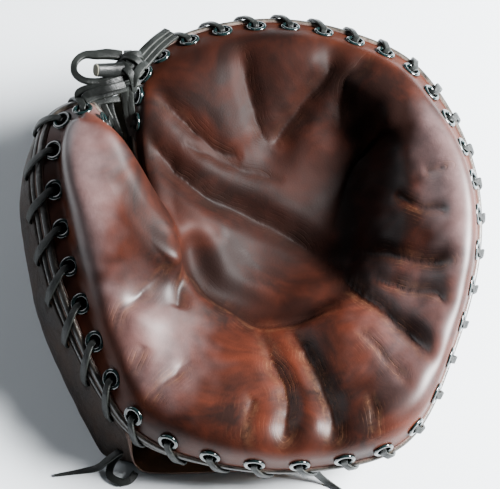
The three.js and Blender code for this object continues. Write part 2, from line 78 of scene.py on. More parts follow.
# %% Sizes and tables
half_width = 138
half_length = 138
rim_height = 100
roll_reach = 40
palm_leather = 3
rim_padding = 14
pocket_padding = 8
back_leather = 2.5
clearance = 0.4
welt_width = 11
eyelet_radius = 5.6
flange_width = 2 * eyelet_radius + 1.2
fill_degrees = 20
bend_degrees = -5
roll_lift = 0.4
roll_lean = 0.5
flange_limit = 0.75
reach_limit = 0.8
padding_share = 0.2
least_padding = 1
wall_start_degrees = 15
wall_fullness = 0.5
heel_opens_at = 5.6
heel_closes_at = 9.3
heel_ease = 0.8
hem_return = 12
edge_gap = welt_width / 2 + clearance

# across, along: % of the half sizes. welt, crest: % of rim_height. slope: degrees. reach, belly: % of
# roll_reach. fall: how late the side drops. The floor columns are % of the half sizes too.
rim = np.array([
    # across, along, welt, crest, slope, reach, fall, floor across, floor along, belly
    [-70, 46, 91, 101, 45, 50, 1.0, -70, 32, 15],
    [-86, 40, 85, 101, 42, 63, 1.0, -76, 25, 50],
    [-90.5, 20, 77, 100, 40, 82, 1.0, -77, 9, 65],
    [-87.5, 0, 68, 94, 40, 92, 1.0, -77, -8, 65],
    [-80, -29, 57, 84, 43, 99, 1.0, -77, -32, 55],
    [-63, -65, 42, 69, 60, 100, 1.2, -69, -66, 35],
    [-44, -88, 33, 60, 85, 90, 1.6, -55, -91, 10],
    [-12, -98, 28, 57, 105, 83, 1.8, -16, -94, 0],
    [26, -99, 26, 58, 108, 85, 1.8, 26, -88, 0],
    [63, -88, 31, 62, 108, 90, 1.6, 52, -72, -5],
    [84, -50, 42, 68, 104, 97, 1.4, 62, -40, -15],
    [97, -4, 53, 74, 92, 104, 1.2, 62, -3, -20],
    [94.5, 38, 63, 80, 72, 103, 1.1, 58, 22, -20],
    [75, 76, 73, 87, 55, 88, 1.0, 44, 40, -20],
    [45, 93, 78, 91, 47, 80, 1.0, 26, 46, -20],
    [10, 99, 81, 94, 45, 74, 1.0, 6, 48, -20],
    [-25, 92, 82, 94, 45, 70, 1.0, -13, 46, -20],
    [-46, 75, 82, 92, 50, 66, 1.0, -26, 41, -15],
    [-50.5, 52, 75, 84, 68, 60, 1.0, -32, 34, -10],
    [-48, 28, 58, 69, 68, 50, 1.0, -33, 18, -5],
    [-34, -6, 42, 68, 112, 30, 1.0, -37, -12, 0],
    [-48.5, 13, 60, 92, 122, 42, 1.0, -52, 4, 0],
    [-57, 28, 78, 100, 110, 42, 1.0, -59, 17, 0],
    [-63, 41, 88, 102, 70, 44, 1.0, -64, 27, 0],
], float)

# across, along, height in %
ridge = np.array([
    [-71, 31, 102],
    [-70.5, 28, 104],
    [-67, 19, 103],
    [-60, 4, 98],
    [-46, -13, 85],
    [-25, -28, 58],
    [-4, -28, 42],
    [11, -18, 35],
    [25, -6, 33],
    [35, 9, 34],
    [40, 23, 38],
    [43, 33, 44],
    [48, 42, 52],
], float)
turns = len(rim)
far = len(ridge) - 1
half_sizes = np.array([half_width, half_length, rim_height], float)
up = np.array([0.0, 0.0, 1.0])
print("rim sections", turns, "ridge points", far + 1)

# %% [markdown]
# A section of the mitt at any place on the rim. Between two rows of a table the values run along a
# Catmull-Rom curve. It passes through every row, so the outline keeps its measured points and has no
# corners, as leather drawn over a pad has none. A spline object would hide these numbers from the next steps.

# %% Sections of the mitt
def blend(table, stations, closed):
    count = len(table)
    first = np.floor(stations).astype(int)
    if not closed:
        first = np.minimum(first, count - 2)
    f = (stations - first)[:, None]

    def row(offset):
        index = first + offset
        return table[index % count if closed else np.clip(index, 0, count - 1)]

    a, b, c, d = row(-1), row(0), row(1), row(2)
    return (2 * b + (c - a) * f + (2 * a - 5 * b + 4 * c - d) * f**2 + (3 * b - a - 3 * c + d) * f**3) / 2


def smooth(x):
    x = np.clip(x, 0, 1)
    return x * x * (3 - 2 * x)


def bell(distance, width):
    return np.exp(-((distance / width) ** 2))


def length_of(vectors):
    return np.linalg.norm(vectors, axis=-1, keepdims=True)


def unit(vectors):
    return vectors / np.maximum(length_of(vectors), 1e-9)


def edge_at(stations):
    return blend(rim, np.mod(stations, turns), True)[:, :3] * half_sizes / 100


def tangent_at(stations):
    step = 0.05
    return unit(edge_at(stations + step) - edge_at(stations - step))


def hem_at(stations):
    opened = smooth((stations - heel_opens_at) / heel_ease)
    closed = smooth((stations - heel_closes_at + heel_ease) / heel_ease)
    return 1 - opened * (1 - closed)


def section_at(stations):
    t = np.mod(np.atleast_1d(np.asarray(stations, float)), turns)
    row = blend(rim, t, True)
    spine = blend(ridge, np.where(t <= far, t, 2 * far - t), False) * half_sizes / 100
    edge = row[:, :3] * half_sizes / 100
    inward = (spine - edge) * [1, 1, 0]
    span = length_of(inward)
    inward = unit(inward)
    tangent = tangent_at(t)

    def along(angle):
        radians = np.radians(row[:, 4:5] + angle)
        return inward * np.cos(radians) + up * np.sin(radians)

    def normal(angle):
        return unit(np.cross(tangent, along(angle)))

    return SimpleNamespace(
        edge=edge,
        spine=spine,
        inward=inward,
        span=span,
        tangent=tangent,
        along=along,
        normal=normal,
        crest=row[:, 3:4] * rim_height / 100,
        reach=np.minimum(row[:, 5:6] * roll_reach / 100, reach_limit * span),
        fall=row[:, 6:7],
        floor=np.column_stack([row[:, 7] * half_width / 100, row[:, 8] * half_length / 100, 0 * t]),
        belly=row[:, 9:10] * roll_reach / 100,
        hem=hem_at(t)[:, None],
    )


def beside(section, along, out):
    """Points beside the edge: so far along the leather towards the palm, and so far out of it, in mm."""
    return section.edge + section.along(0) * along + section.normal(0) * out


def cubic(a, b, c, d, t):
    s = 1 - t
    return a * s**3 + b * 3 * s * s * t + c * 3 * s * t * t + d * t**3


print("edge at the thumb's tip", np.round(edge_at(np.array([0.0])), 1))

# %% [markdown]
# Where the mitt lies in the frame. The frame puts the origin under the middle of the whole part, so the
# welt's ring is made here as the frame has it, and the two boxes give the shift between them.

# %% Shift into the frame
welt_columns = 66
welt_outline = [(-5.5, -1.2), (-4.125, 1.3), (0, 0.5), (4.125, 1.3), (5.5, -1.2)]
welt_ring = section_at(np.arange(welt_columns) * turns / welt_columns)
ring_points = np.concatenate([beside(welt_ring, along, out) for along, out in welt_outline])
welt_low, welt_high = (np.array(corner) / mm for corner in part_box("edge_welt"))
shift = (welt_low + welt_high) / 2 - (ring_points.min(0) + ring_points.max(0)) / 2
print("shift in mm", np.round(shift, 3))

# %% [markdown]
# The camera stands above the heel and looks down into the pocket, 60 degrees above the floor, as the
# photograph does. Its focal length is given in pixels of a frame that is 500 wide, and a 36 mm wide sensor
# turns that into a lens.

# %% Camera
photo_width = 500
focal_pixels = 1417
camera_distance = 850
camera_elevation = math.radians(60)
target = np.array([0, 0, 40.0])
sensor = 36
camera_data = bpy.data.cameras.new("camera")
camera_data.sensor_width = sensor
camera_data.lens = focal_pixels / photo_width * sensor
camera = bpy.data.objects.new("camera", camera_data)
bpy.context.collection.objects.link(camera)
toward_camera = np.array([0, -math.cos(camera_elevation), math.sin(camera_elevation)])
camera.location = Vector((target + shift + toward_camera * camera_distance) * mm)
camera.rotation_euler = (math.pi / 2 - camera_elevation, 0, 0)
bpy.context.scene.camera = camera
print("lens", round(camera_data.lens, 2), "mm, at", [round(x, 3) for x in camera.location])

# %% [markdown]
# A small builder for node trees. Each call adds one node, fills its sockets with values or links and gives
# back one output, so that a recipe reads from top to bottom. The trees could be drawn by hand in the node
# editor, but written down they can be read and changed. It serves shaders and Geometry Nodes alike.

# %% Node tree builder
def fill_sockets(tree, inputs, pairs):
    """Sets each socket to a value, or links it to the output of another node."""
    for key, source in pairs:
        if isinstance(source, bpy.types.NodeSocket):
            tree.links.new(source, inputs[key])
        elif source is not None:
            inputs[key].default_value = source


def spelled(sockets):
    return [(name.replace("_", " "), source) for name, source in sockets.items()]


class Recipe:
    def __init__(self, tree):
        self.tree = tree

    def add(self, kind, sockets=(), out=0, **settings):
        node = self.tree.nodes.new(kind)
        for name, value in settings.items():
            setattr(node, name, value)
        pairs = sockets.items() if isinstance(sockets, dict) else enumerate(sockets)
        fill_sockets(self.tree, node.inputs, pairs)
        return node.outputs[out]

    def give(self, name, source):
        self.tree.links.new(source, self.result[name])

    def math(self, operation, a, b=None, clamp=False):
        return self.add("ShaderNodeMath", [a, b], operation=operation, use_clamp=clamp)

    def mix(self, factor, a, b, blend_type="MIX"):
        sockets = {0: factor, 6: a, 7: b}
        return self.add("ShaderNodeMix", sockets, 2, data_type="RGBA", blend_type=blend_type)

    def span(self, value, low, high, to_low=0.0, to_high=1.0):
        sockets = {0: value, 1: low, 2: high, 3: to_low, 4: to_high}
        return self.add("ShaderNodeMapRange", sockets)

    def noise(self, place, scale, detail=3.0, roughness=0.55, distortion=0.0):
        sockets = {"Vector": place, "Scale": scale, "Detail": detail, "Roughness": roughness,
                   "Distortion": distortion}
        return self.add("ShaderNodeTexNoise", sockets)

    def attribute(self, name):
        return self.add("ShaderNodeAttribute", out="Fac", attribute_name=name)


def new_group(name, tree_type, inputs, outputs):
    tree = bpy.data.node_groups.new(name, tree_type)
    for socket_name, socket_type, value in inputs:
        socket = tree.interface.new_socket(socket_name, in_out="INPUT", socket_type=socket_type)
        if value is not None:
            socket.default_value = value
    for socket_name, socket_type in outputs:
        tree.interface.new_socket(socket_name, in_out="OUTPUT", socket_type=socket_type)
    recipe = Recipe(tree)
    recipe.given = tree.nodes.new("NodeGroupInput").outputs
    recipe.result = tree.nodes.new("NodeGroupOutput").inputs
    return recipe


def rgb(red, green, blue):
    """A colour as it looks on a screen, 0 to 255, turned into the linear values that shaders use."""
    def linear(value):
        value /= 255
        return value / 12.92 if value <= 0.04045 else ((value + 0.055) / 1.055) ** 2.4
    return (linear(red), linear(green), linear(blue), 1.0)


print("node builder ready")

# %% [markdown]
# Old leather has one recipe with many moods. A slow noise moves it between a dark and a warm brown, a pale
# mix of dust and painted sheen lies where hands have rubbed it, creases get a painted shade, and their lips
# are worn to the light hide. The grain is a fine cell pattern, raised a little. Painted textures would do
# it too, but a recipe stays sharp from near. The groups give back colours, masks and heights only. The shader
# itself stays in each material.

# %% Shared groups for leather
color = "NodeSocketColor"
value = "NodeSocketFloat"
vector = "NodeSocketVector"

hide = new_group(
    "aged_hide", "ShaderNodeTree",
    [("Place", vector, None), ("Dark", color, rgb(60, 34, 26)), ("Warm", color, rgb(110, 56, 38)),
     ("Pale", color, rgb(140, 110, 104)), ("Worn", color, rgb(170, 130, 96)), ("Warmth", value, 0.5),
     ("Pallor", value, 0.0), ("Crease", value, 0.0), ("Wear", value, 0.0), ("Blotch Size", value, 26.0)],
    [("Color", color), ("Mottle", value), ("Worn Mask", value)],
)
g = hide.given
blotches = hide.noise(g["Place"], g["Blotch Size"], 4.0, 0.6, 0.6)
streaks = hide.noise(g["Place"], 150.0, 5.0, 0.65)
warm_mask = hide.math("ADD", hide.span(blotches, 0.38, 0.66), hide.math("SUBTRACT", g["Warmth"], 0.5), True)
mottled = hide.mix(warm_mask, g["Dark"], g["Warm"])
mottled = hide.mix(0.55, mottled, hide.mix(streaks, rgb(120, 120, 120), rgb(240, 240, 240)), "MULTIPLY")
mottled = hide.mix(1.0, mottled, rgb(214, 214, 214), "DIVIDE")
# The Pale colour laid on by the Pallor mask is partly dust and partly painted sheen.
dust_and_sheen = hide.math("MULTIPLY", g["Pallor"], hide.span(streaks, 0.25, 0.7, 0.55, 1.0), True)
dusted_and_sheened = hide.mix(dust_and_sheen, mottled, g["Pale"])
# Creases get a painted shade: a dark brown laid along the Crease mask.
crease_shaded = hide.mix(hide.math("MULTIPLY", g["Crease"], 0.85, True), dusted_and_sheened, rgb(20, 11, 8))
scratchy = hide.noise(g["Place"], 180.0, 5.0, 0.7, 0.6)
worn_mask = hide.math("MULTIPLY", g["Wear"], hide.span(scratchy, 0.36, 0.62), True)
hide.give("Color", hide.mix(worn_mask, crease_shaded, g["Worn"]))
hide.give("Mottle", blotches)
hide.give("Worn Mask", worn_mask)

grain = new_group(
    "hide_grain", "ShaderNodeTree",
    [("Place", vector, None), ("Cell Size", value, 620.0), ("Wrinkle Size", value, 70.0),
     ("Wrinkle Depth", value, 0.5)],
    [("Height", value)],
)
g = grain.given
cells = grain.add("ShaderNodeTexVoronoi", {"Vector": g["Place"], "Scale": g["Cell Size"]}, "Distance",
                  feature="DISTANCE_TO_EDGE")
cells = grain.span(cells, 0.0, 0.25)
pores = grain.noise(g["Place"], 1500.0, 2.0)
wrinkles = grain.noise(g["Place"], g["Wrinkle Size"], 6.0, 0.6, 1.5)
wrinkles = grain.math("MULTIPLY", wrinkles, g["Wrinkle Depth"])
fine = grain.math("ADD", grain.math("MULTIPLY", cells, 0.05), grain.math("MULTIPLY", pores, 0.05))
grain.give("Height", grain.math("ADD", fine, wrinkles))

cracks = new_group(
    "fold_cracks", "ShaderNodeTree",
    [("Place", vector, None), ("Distance", value, 20.0), ("Spread", value, 7.0), ("Spacing", value, 2.4)],
    [("Cracks", value)],
)
g = cracks.given
drift = cracks.math("MULTIPLY", cracks.noise(g["Place"], 40.0, 2.0), 4.0)
phase = cracks.math("DIVIDE", cracks.math("ADD", g["Distance"], drift), g["Spacing"])
wave = cracks.math("ABSOLUTE", cracks.math("SINE", cracks.math("MULTIPLY", phase, math.pi)))
thin = cracks.math("POWER", cracks.math("SUBTRACT", 1.0, wave), 3.0)
fading = cracks.math("MULTIPLY", g["Spread"], -1.0)
near = cracks.math("EXPONENT", cracks.math("DIVIDE", g["Distance"], fading))
gate = cracks.span(cracks.noise(g["Place"], 110.0, 3.0), 0.44, 0.62)
cracks.give("Cracks", cracks.math("MULTIPLY", cracks.math("MULTIPLY", thin, near), gate, True))
print("leather groups", [group.name for group in bpy.data.node_groups])

# %% [markdown]
# The palm's leather: nearly black with oil and painted shade in the pocket, grey with dust and a painted
# sheen where hands have rubbed the thumb and the heel, warm under the lace. Its masks come from attributes
# that the mesh carries, such as how close a point is to a fold, so the marks lie exactly where the folds are.
# The gloss is a coat, strong where it is rubbed.

# %% Palm leather
def new_material(name):
    material = bpy.data.materials.new(name)
    material.use_nodes = True
    recipe = Recipe(material.node_tree)
    recipe.shader = material.node_tree.nodes["Principled BSDF"]
    recipe.place = recipe.add("ShaderNodeTexCoord", out="Object")
    return material, recipe


def wire(recipe, **sockets):
    fill_sockets(recipe.tree, recipe.shader.inputs, spelled(sockets))


def bump(recipe, height, strength, distance):
    return recipe.add("ShaderNodeBump", {"Height": height, "Strength": strength, "Distance": distance * mm})


def placed_group(recipe, group, **sockets):
    node = recipe.tree.nodes.new("ShaderNodeGroup")
    node.node_tree = group.tree
    fill_sockets(recipe.tree, node.inputs, [("Place", recipe.place)] + spelled(sockets))
    return node.outputs


def palm_leather_material():
    material, r = new_material("palm_leather")
    # The crease attribute carries painted shade along the folds.
    crease, pocket, flange, sheen, hole = (
        r.attribute(name) for name in ("crease", "pocket", "flange", "sheen", "hole"))
    fold_distance = r.attribute("fold_distance")
    crack = placed_group(r, cracks, Distance=fold_distance, Spread=6.0, Spacing=2.2)["Cracks"]
    rubbed = r.math("MULTIPLY", r.attribute("lip"), 0.16)
    handled = r.math("ADD", r.math("MULTIPLY", crack, 0.5), rubbed, True)
    wear = r.math("MULTIPLY", handled, r.span(pocket, 0.0, 0.8, 1.0, 0.25))
    warmth = r.math("ADD", 0.42, r.math("MULTIPLY", flange, 0.3))
    # The pocket mask darkens with oil and with painted shade, in the pocket, at the top and under the thumb's
    # root.
    pocket_oil_and_shade = r.math("MULTIPLY", pocket, 0.8)
    # Pale, laid on by the sheen mask, is partly dust and partly painted sheen.
    skin = placed_group(
        r, hide, Dark=rgb(26, 13, 10), Warm=rgb(64, 27, 16), Pale=rgb(106, 84, 83), Worn=rgb(124, 86, 60),
        Warmth=warmth, Pallor=sheen, Crease=crease, Wear=wear, Blotch_Size=24.0)
    amber = r.math("MULTIPLY", flange, r.span(skin["Mottle"], 0.35, 0.62, 0.15, 0.8))
    unfaded = r.mix(amber, skin["Color"], rgb(70, 33, 18))
    oiled_and_shaded = r.mix(pocket_oil_and_shade, unfaded, rgb(20, 11, 9))
    # The holes are painted near black as the shade inside them.
    hole_shaded = r.mix(hole, oiled_and_shaded, rgb(8, 6, 5))
    relief = placed_group(r, grain, Wrinkle_Depth=0.35)["Height"]
    relief = r.math("SUBTRACT", relief, r.math("MULTIPLY", crack, 0.6))
    roughness = r.span(skin["Mottle"], 0.3, 0.7, 0.30, 0.46)
    for mask, share in ((skin["Worn Mask"], 0.2), (pocket, 0.24), (sheen, 0.05)):
        roughness = r.math("ADD", roughness, r.math("MULTIPLY", mask, share), True)
    wire(r, Base_Color=hole_shaded, Roughness=roughness, Normal=bump(r, relief, 0.35, 1.2))
    polish = r.math("MULTIPLY", r.span(sheen, 0.0, 0.7, 0.18, 1.0), r.span(pocket, 0.0, 0.8, 1.0, 0.12))
    wire(r, Specular_IOR_Level=0.04, Coat_Weight=polish, Coat_Roughness=0.42, Coat_IOR=1.6)
    return material


palm_skin = palm_leather_material()
print("palm leather has", len(palm_skin.node_tree.nodes), "nodes")

# %% [markdown]
# The other leathers. Lace, welt, back and cut edges are the same kind of hide with other colours, grain and
# gloss, so one function makes them. Where an edge rubs, a mask from the mesh lets the light hide through. The
# lining is never rubbed by hands or floor, so it needs only a colour and a grain.

# %% Other leathers
def plain_leather(name, dark, warm, worn, edge_mask, roughness, wrinkle_size, wrinkle_depth, cell_size=620.0,
                  gloss=0.4):
    material, r = new_material(name)
    mask = r.attribute(edge_mask) if edge_mask else 0.0
    skin = placed_group(r, hide, Dark=dark, Warm=warm, Worn=worn, Wear=mask, Blotch_Size=45.0)
    relief = placed_group(r, grain, Cell_Size=cell_size, Wrinkle_Size=wrinkle_size,
                          Wrinkle_Depth=wrinkle_depth)["Height"]
    rough = r.span(skin["Mottle"], 0.3, 0.7, roughness - 0.08, roughness + 0.1)
    wire(r, Base_Color=skin["Color"], Roughness=rough, Normal=bump(r, relief, 0.5, 1.5))
    wire(r, Specular_IOR_Level=gloss)
    return material


lining_skin, r = new_material("lining_leather")
lining_tone = placed_group(r, hide, Dark=rgb(92, 66, 46), Warm=rgb(128, 94, 64), Blotch_Size=30.0)["Color"]
relief = placed_group(r, grain, Wrinkle_Depth=0.4)["Height"]
wire(r, Base_Color=lining_tone, Roughness=0.8, Normal=bump(r, relief, 0.4, 1.0))
back_skin = plain_leather("back_leather", rgb(24, 17, 14), rgb(48, 35, 28), rgb(150, 124, 96), "raw",
                          roughness=0.5, wrinkle_size=120.0, wrinkle_depth=1.4, gloss=0.16)
# The welt's Worn colour on its crowns is partly wear and partly a painted highlight.
welt_skin = plain_leather("welt_leather", rgb(20, 18, 16), rgb(44, 38, 33), rgb(128, 118, 106), "highlit_crown_wear",
                          roughness=0.36, wrinkle_size=160.0, wrinkle_depth=0.5, gloss=0.6)
raw_edge = plain_leather("raw_edge", rgb(66, 48, 42), rgb(108, 84, 74), rgb(136, 114, 100), None,
                         roughness=0.7, wrinkle_size=300.0, wrinkle_depth=0.8)
lace_skin = plain_leather("lace_leather", rgb(11, 13, 12), rgb(27, 30, 28), rgb(54, 58, 52), "across",
                          roughness=0.46, wrinkle_size=240.0, wrinkle_depth=0.5, cell_size=900.0, gloss=0.32)
print("leathers", [material.name for material in bpy.data.materials])

# %% [markdown]
# Suede and enamel. The web shows the flesh side of a hide: dull, with a nap that catches light at its edge,
# which a little sheen gives. The eyelets are dark enamel over metal, and chips of noise lay the metal bare.

# %% Suede and enamel
web_skin, r = new_material("web_suede")
nap = r.noise(r.place, 900.0, 4.0, 0.7)
suede_tone = r.mix(r.noise(r.place, 70.0, 3.0), rgb(66, 66, 54), rgb(112, 110, 92))
suede_tone = r.mix(r.math("MULTIPLY", nap, 0.5), suede_tone, rgb(140, 136, 116))
wire(r, Base_Color=suede_tone, Roughness=0.95, Normal=bump(r, nap, 0.6, 0.5))
wire(r, Sheen_Weight=0.3, Sheen_Roughness=0.5)

enamel, r = new_material("eyelet_enamel")
chips = r.span(r.noise(r.place, 520.0, 4.0, 0.7), 0.62, 0.70)
tint = r.mix(r.noise(r.place, 130.0), rgb(6, 13, 13), rgb(16, 34, 34))
wire(r, Base_Color=r.mix(chips, tint, rgb(92, 88, 76)), Roughness=r.span(chips, 0.0, 1.0, 0.16, 0.5))
wire(r, Metallic=r.math("MULTIPLY", chips, 0.7), Coat_Weight=0.6, Coat_Roughness=0.08)
print("materials", len(bpy.data.materials))

# %% [markdown]
# Reading and writing a mesh in one go, as arrays. Numpy works on all points at once, which is why a fold can
# be as quick as a formula. The relax step is what a smooth brush does by hand, weighted by a mask.

# %% Mesh data and smoothing
def read_points(mesh):
    points = np.empty(len(mesh.vertices) * 3)
    mesh.vertices.foreach_get("co", points)
    return points.reshape(-1, 3)


def read_normals(mesh):
    normals = np.empty(len(mesh.vertices) * 3)
    mesh.vertex_normals.foreach_get("vector", normals)
    return normals.reshape(-1, 3)


def write_points(mesh, points):
    mesh.vertices.foreach_set("co", np.ascontiguousarray(points).ravel())
    mesh.update()


def read_attribute(mesh, name):
    values = np.empty(len(mesh.vertices))
    mesh.attributes[name].data.foreach_get("value", values)
    return values


def write_attribute(mesh, name, values, kind="FLOAT"):
    layer = mesh.attributes.get(name) or mesh.attributes.new(name, kind, "POINT")
    part = "value" if kind == "FLOAT" else "vector"
    layer.data.foreach_set(part, np.asarray(values, np.float32).ravel())


def relax(mesh, weights, rounds):
    """Moves each point part of the way to the middle of its neighbours, as far as its weight says."""
    edges = np.empty(len(mesh.edges) * 2, np.int32)
    mesh.edges.foreach_get("vertices", edges)
    a, b = edges.reshape(-1, 2).T
    used = (weights[a] > 0) | (weights[b] > 0)
    a, b = a[used], b[used]
    points = read_points(mesh)
    moving = np.where(weights > 0)[0]
    count = np.bincount(a, minlength=len(points)) + np.bincount(b, minlength=len(points))
    share = (weights / np.maximum(count, 1))[moving, None]
    for _ in range(rounds):
        total = np.column_stack([
            np.bincount(a, points[b, axis], len(points)) + np.bincount(b, points[a, axis], len(points))
            for axis in range(3)])
        points[moving] = points[moving] * (1 - weights[moving, None]) + total[moving] * share
    write_points(mesh, points)


def rough_field(points, size, seed):
    """A smooth random number from -1 to 1 at each point, with lumps of the given size."""
    offset = Vector((seed * 17.3, seed * 5.1, seed * 9.7))
    return np.array([noise.noise(Vector(point) / size + offset) for point in points])


print("lumps at three places", np.round(rough_field(np.eye(3), 9.0, 1), 2))

# %% [markdown]
# Mesh helpers. A skin is a set of point grids that share their borders, as a real hide is cut in panels and
# joined. The borders are welded and the faces turned outwards. A loft modifier doesn't exist, and grids of
# points are quick in numpy. At the end the points are moved into the frame, where they become metres.

# %% Mesh helpers
thumb_tip = np.array([-105, 64, 88])
tip_pull = np.array([-0.5, 4.0, 1.0])
tip_pull_size = 34


def to_frame(points):
    """Mitt millimetres to frame metres. The thumb's tip is drawn up on the way, as it is in the photo."""
    points = np.asarray(points, float)
    from_tip = length_of(points - thumb_tip)
    drawn_up = bell(from_tip, tip_pull_size) * tip_pull
    return (points + drawn_up + shift) * mm


def link(name, mesh):
    piece = bpy.data.objects.new(name, mesh)
    bpy.context.collection.objects.link(piece)
    return piece


def grid_faces(rows, columns, first, slot):
    row, column = np.meshgrid(np.arange(rows - 1), np.arange(columns - 1), indexing="ij")
    corner = (first + row * columns + column).ravel()
    quads = np.column_stack([corner, corner + 1, corner + columns + 1, corner + columns])
    return quads, np.full(len(quads), slot)


weld_distance = 0.02


def skin_mesh(name, grids):
    """grids: a list of (points[rows, columns, 3], material slot, {attribute: values[rows, columns]})."""
    points, quads, slots, first = [], [], [], 0
    names = sorted({key for _, _, extra in grids for key in extra})
    columns = {key: [] for key in names}
    for grid, slot, extra in grids:
        rows, across = grid.shape[:2]
        faces, face_slots = grid_faces(rows, across, first, slot)
        points.append(grid.reshape(-1, 3))
        quads.append(faces)
        slots.append(face_slots)
        for key in names:
            columns[key].append(extra[key].ravel() if key in extra else np.zeros(rows * across))
        first += rows * across
    mesh = bpy.data.meshes.new(name)
    mesh.from_pydata(np.concatenate(points).tolist(), [], np.concatenate(quads).tolist())
    mesh.polygons.foreach_set("material_index", np.concatenate(slots).astype(np.int32))
    for key in names:
        write_attribute(mesh, key, np.concatenate(columns[key]))
    shape = bmesh.new()
    shape.from_mesh(mesh)
    bmesh.ops.remove_doubles(shape, verts=shape.verts, dist=weld_distance)
    bmesh.ops.dissolve_degenerate(shape, edges=shape.edges, dist=weld_distance / 4)
    bmesh.ops.recalc_face_normals(shape, faces=shape.faces)
    shape.to_mesh(mesh)
    shape.free()
    mesh.polygons.foreach_set("use_smooth", [True] * len(mesh.polygons))
    return mesh


def finish_mesh(name, mesh, *materials):
    """Moves a mesh from mitt millimetres into the frame and makes it a piece."""
    write_points(mesh, to_frame(read_points(mesh)))
    for material in materials:
        mesh.materials.append(material)
    return link(name, mesh)


def settle(piece, slot, *nodes):
    """Says which body a piece rides on and which solids it stands for. The slot it is given is not used."""
    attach(piece, "root")
    if nodes:
        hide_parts(*nodes)
    triangles = sum(len(face.vertices) - 2 for face in piece.data.polygons)
    print(piece.name, "has", triangles, "triangles")


print("skins are welded at", weld_distance, "mm")

# %% [markdown]
# Where the eyelets stand. They are punched at an even pitch in each stretch of lacing, so the table of runs
# says from where to where and how many, as counted in the photo. A table of lengths turns a distance along
# the edge into a station of the rim and back. An array on a curve would do it too, without the counted runs.

# %% Eyelets along the edge
lace_runs = [(-1.45, 1.68, 3), (1.68, 8.3, 12), (8.3, 16.76, 21), (16.76, 18.7, 4)]
edge_stations = np.arange(0, turns * 40 + 1) / 40
edge_steps = length_of(np.diff(edge_at(edge_stations), axis=0)).ravel()
edge_lengths = np.concatenate([[0], np.cumsum(edge_steps)])
loop_length = edge_lengths[-1]


def length_at(station):
    laps = math.floor(station / turns)
    return laps * loop_length + np.interp(station - laps * turns, edge_stations, edge_lengths)


def station_at(length):
    laps = np.floor(np.asarray(length) / loop_length)
    return laps * turns + np.interp(length - laps * loop_length, edge_lengths, edge_stations)


hole_lengths = []
hole_pitches = []
for run_from, run_to, count in lace_runs:
    pitch = (length_at(run_to) - length_at(run_from)) / count
    hole_lengths += [length_at(run_from) + pitch * i for i in range(count)]
    hole_pitches += [pitch] * count
hole_lengths = np.array(hole_lengths)
hole_pitches = np.array(hole_pitches)
hole_sections = section_at(station_at(hole_lengths))
flange_start = hole_sections.edge + hole_sections.along(0) * edge_gap
hole_points = flange_start + hole_sections.along(-fill_degrees) * flange_width / 2
hole_normals = hole_sections.normal(-fill_degrees)
print("eyelets", len(hole_points), "round a loop of", round(loop_length), "mm")

# %% [markdown]
# The palm. On the real mitt it is one hide over a thick felt pad, rolled over at the rim and beaten down in
# the pocket. It could be a cloth simulation, but long play has set its folds, so they are modelled: a fine
# lofted skin, then broad dents, then narrow creases with raised lips.

# %% Palm sections
def palm_rows(section, flange_rows, roll_rows, pocket_rows):
    start = section.edge + section.along(0) * edge_gap
    top = section.edge + section.inward * section.reach
    top[:, 2:3] = section.crest
    flange = np.minimum(flange_width, flange_limit * length_of(top - start))
    bend = start + section.along(-fill_degrees) * flange
    rest = length_of(top - bend)
    lift = bend + section.along(bend_degrees) * roll_lift * rest
    lean = top - section.inward * roll_lean * rest
    rise = section.reach + section.crest - section.edge[:, 2:3]
    padding = np.minimum(rim_padding, padding_share * rise + least_padding)
    rows = [start + (bend - start) * q for q in np.arange(flange_rows) / flange_rows]
    depths = [np.full_like(rest, palm_leather)] * flange_rows
    for q in np.arange(roll_rows + 1) / roll_rows:
        rows.append(cubic(bend, lift, lean, top, q))
        depths.append(palm_leather + (padding - palm_leather) * smooth(q))
    for q in np.arange(1, pocket_rows + 1) / pocket_rows:
        drop = smooth(q ** section.fall)
        point = section.edge + section.inward * (section.reach + (section.span - section.reach) * q)
        point[:, 2:3] = section.crest + (section.spine[:, 2:3] - section.crest) * drop
        rows.append(point)
        depths.append(padding + (pocket_padding - padding) * drop)
    points = np.array(rows)
    run = np.gradient(points, axis=0)
    normals = unit(up * length_of(run * [1, 1, 0]) - section.inward * run[:, :, 2:3])
    normals[0] = section.normal(0)
    normals[-1] = up
    return points, normals, np.array(depths)


def evened(points, rows):
    """The same sections with their points spread evenly by length, and the length from the rim at each."""
    steps = length_of(np.diff(points, axis=0))[:, :, 0]
    run = np.concatenate([np.zeros((1, points.shape[1])), np.cumsum(steps, axis=0)])
    places = np.linspace(0, 1, rows)[:, None] * run[-1]
    even = np.empty((rows,) + points.shape[1:])
    for column in range(points.shape[1]):
        for axis in range(3):
            even[:, column, axis] = np.interp(places[:, column], run[:, column], points[:, column, axis])
    return even, places


palm_columns = 400
palm_row_count = 94
lining_depth = 5
side_stations = np.arange(palm_columns + 1) * far / palm_columns
both_sides = [section_at(side_stations), section_at(turns - side_stations)]
evened_sides = [evened(palm_rows(section, flange_rows=12, roll_rows=60, pocket_rows=120)[0], palm_row_count)
                for section in both_sides]
print("palm sections", 2 * palm_columns, "of", palm_row_count, "points")

# %% [markdown]
# The loft has a seam where its two sides meet along the top of the thumb, and a flap at the thumb's root. So
# each section is joined over the ridge with the one opposite and smoothed along its length, most on the
# thumb, and the root is then pushed out to its full roundness. A sculptor would do the same with a brush.

# %% Rounding the thumb
def rounded(points, weights, rounds, axis):
    for _ in range(rounds):
        middle = (np.roll(points, 1, axis) + 2 * points + np.roll(points, -1, axis)) / 4
        points = points + (middle - points) * weights
    return points


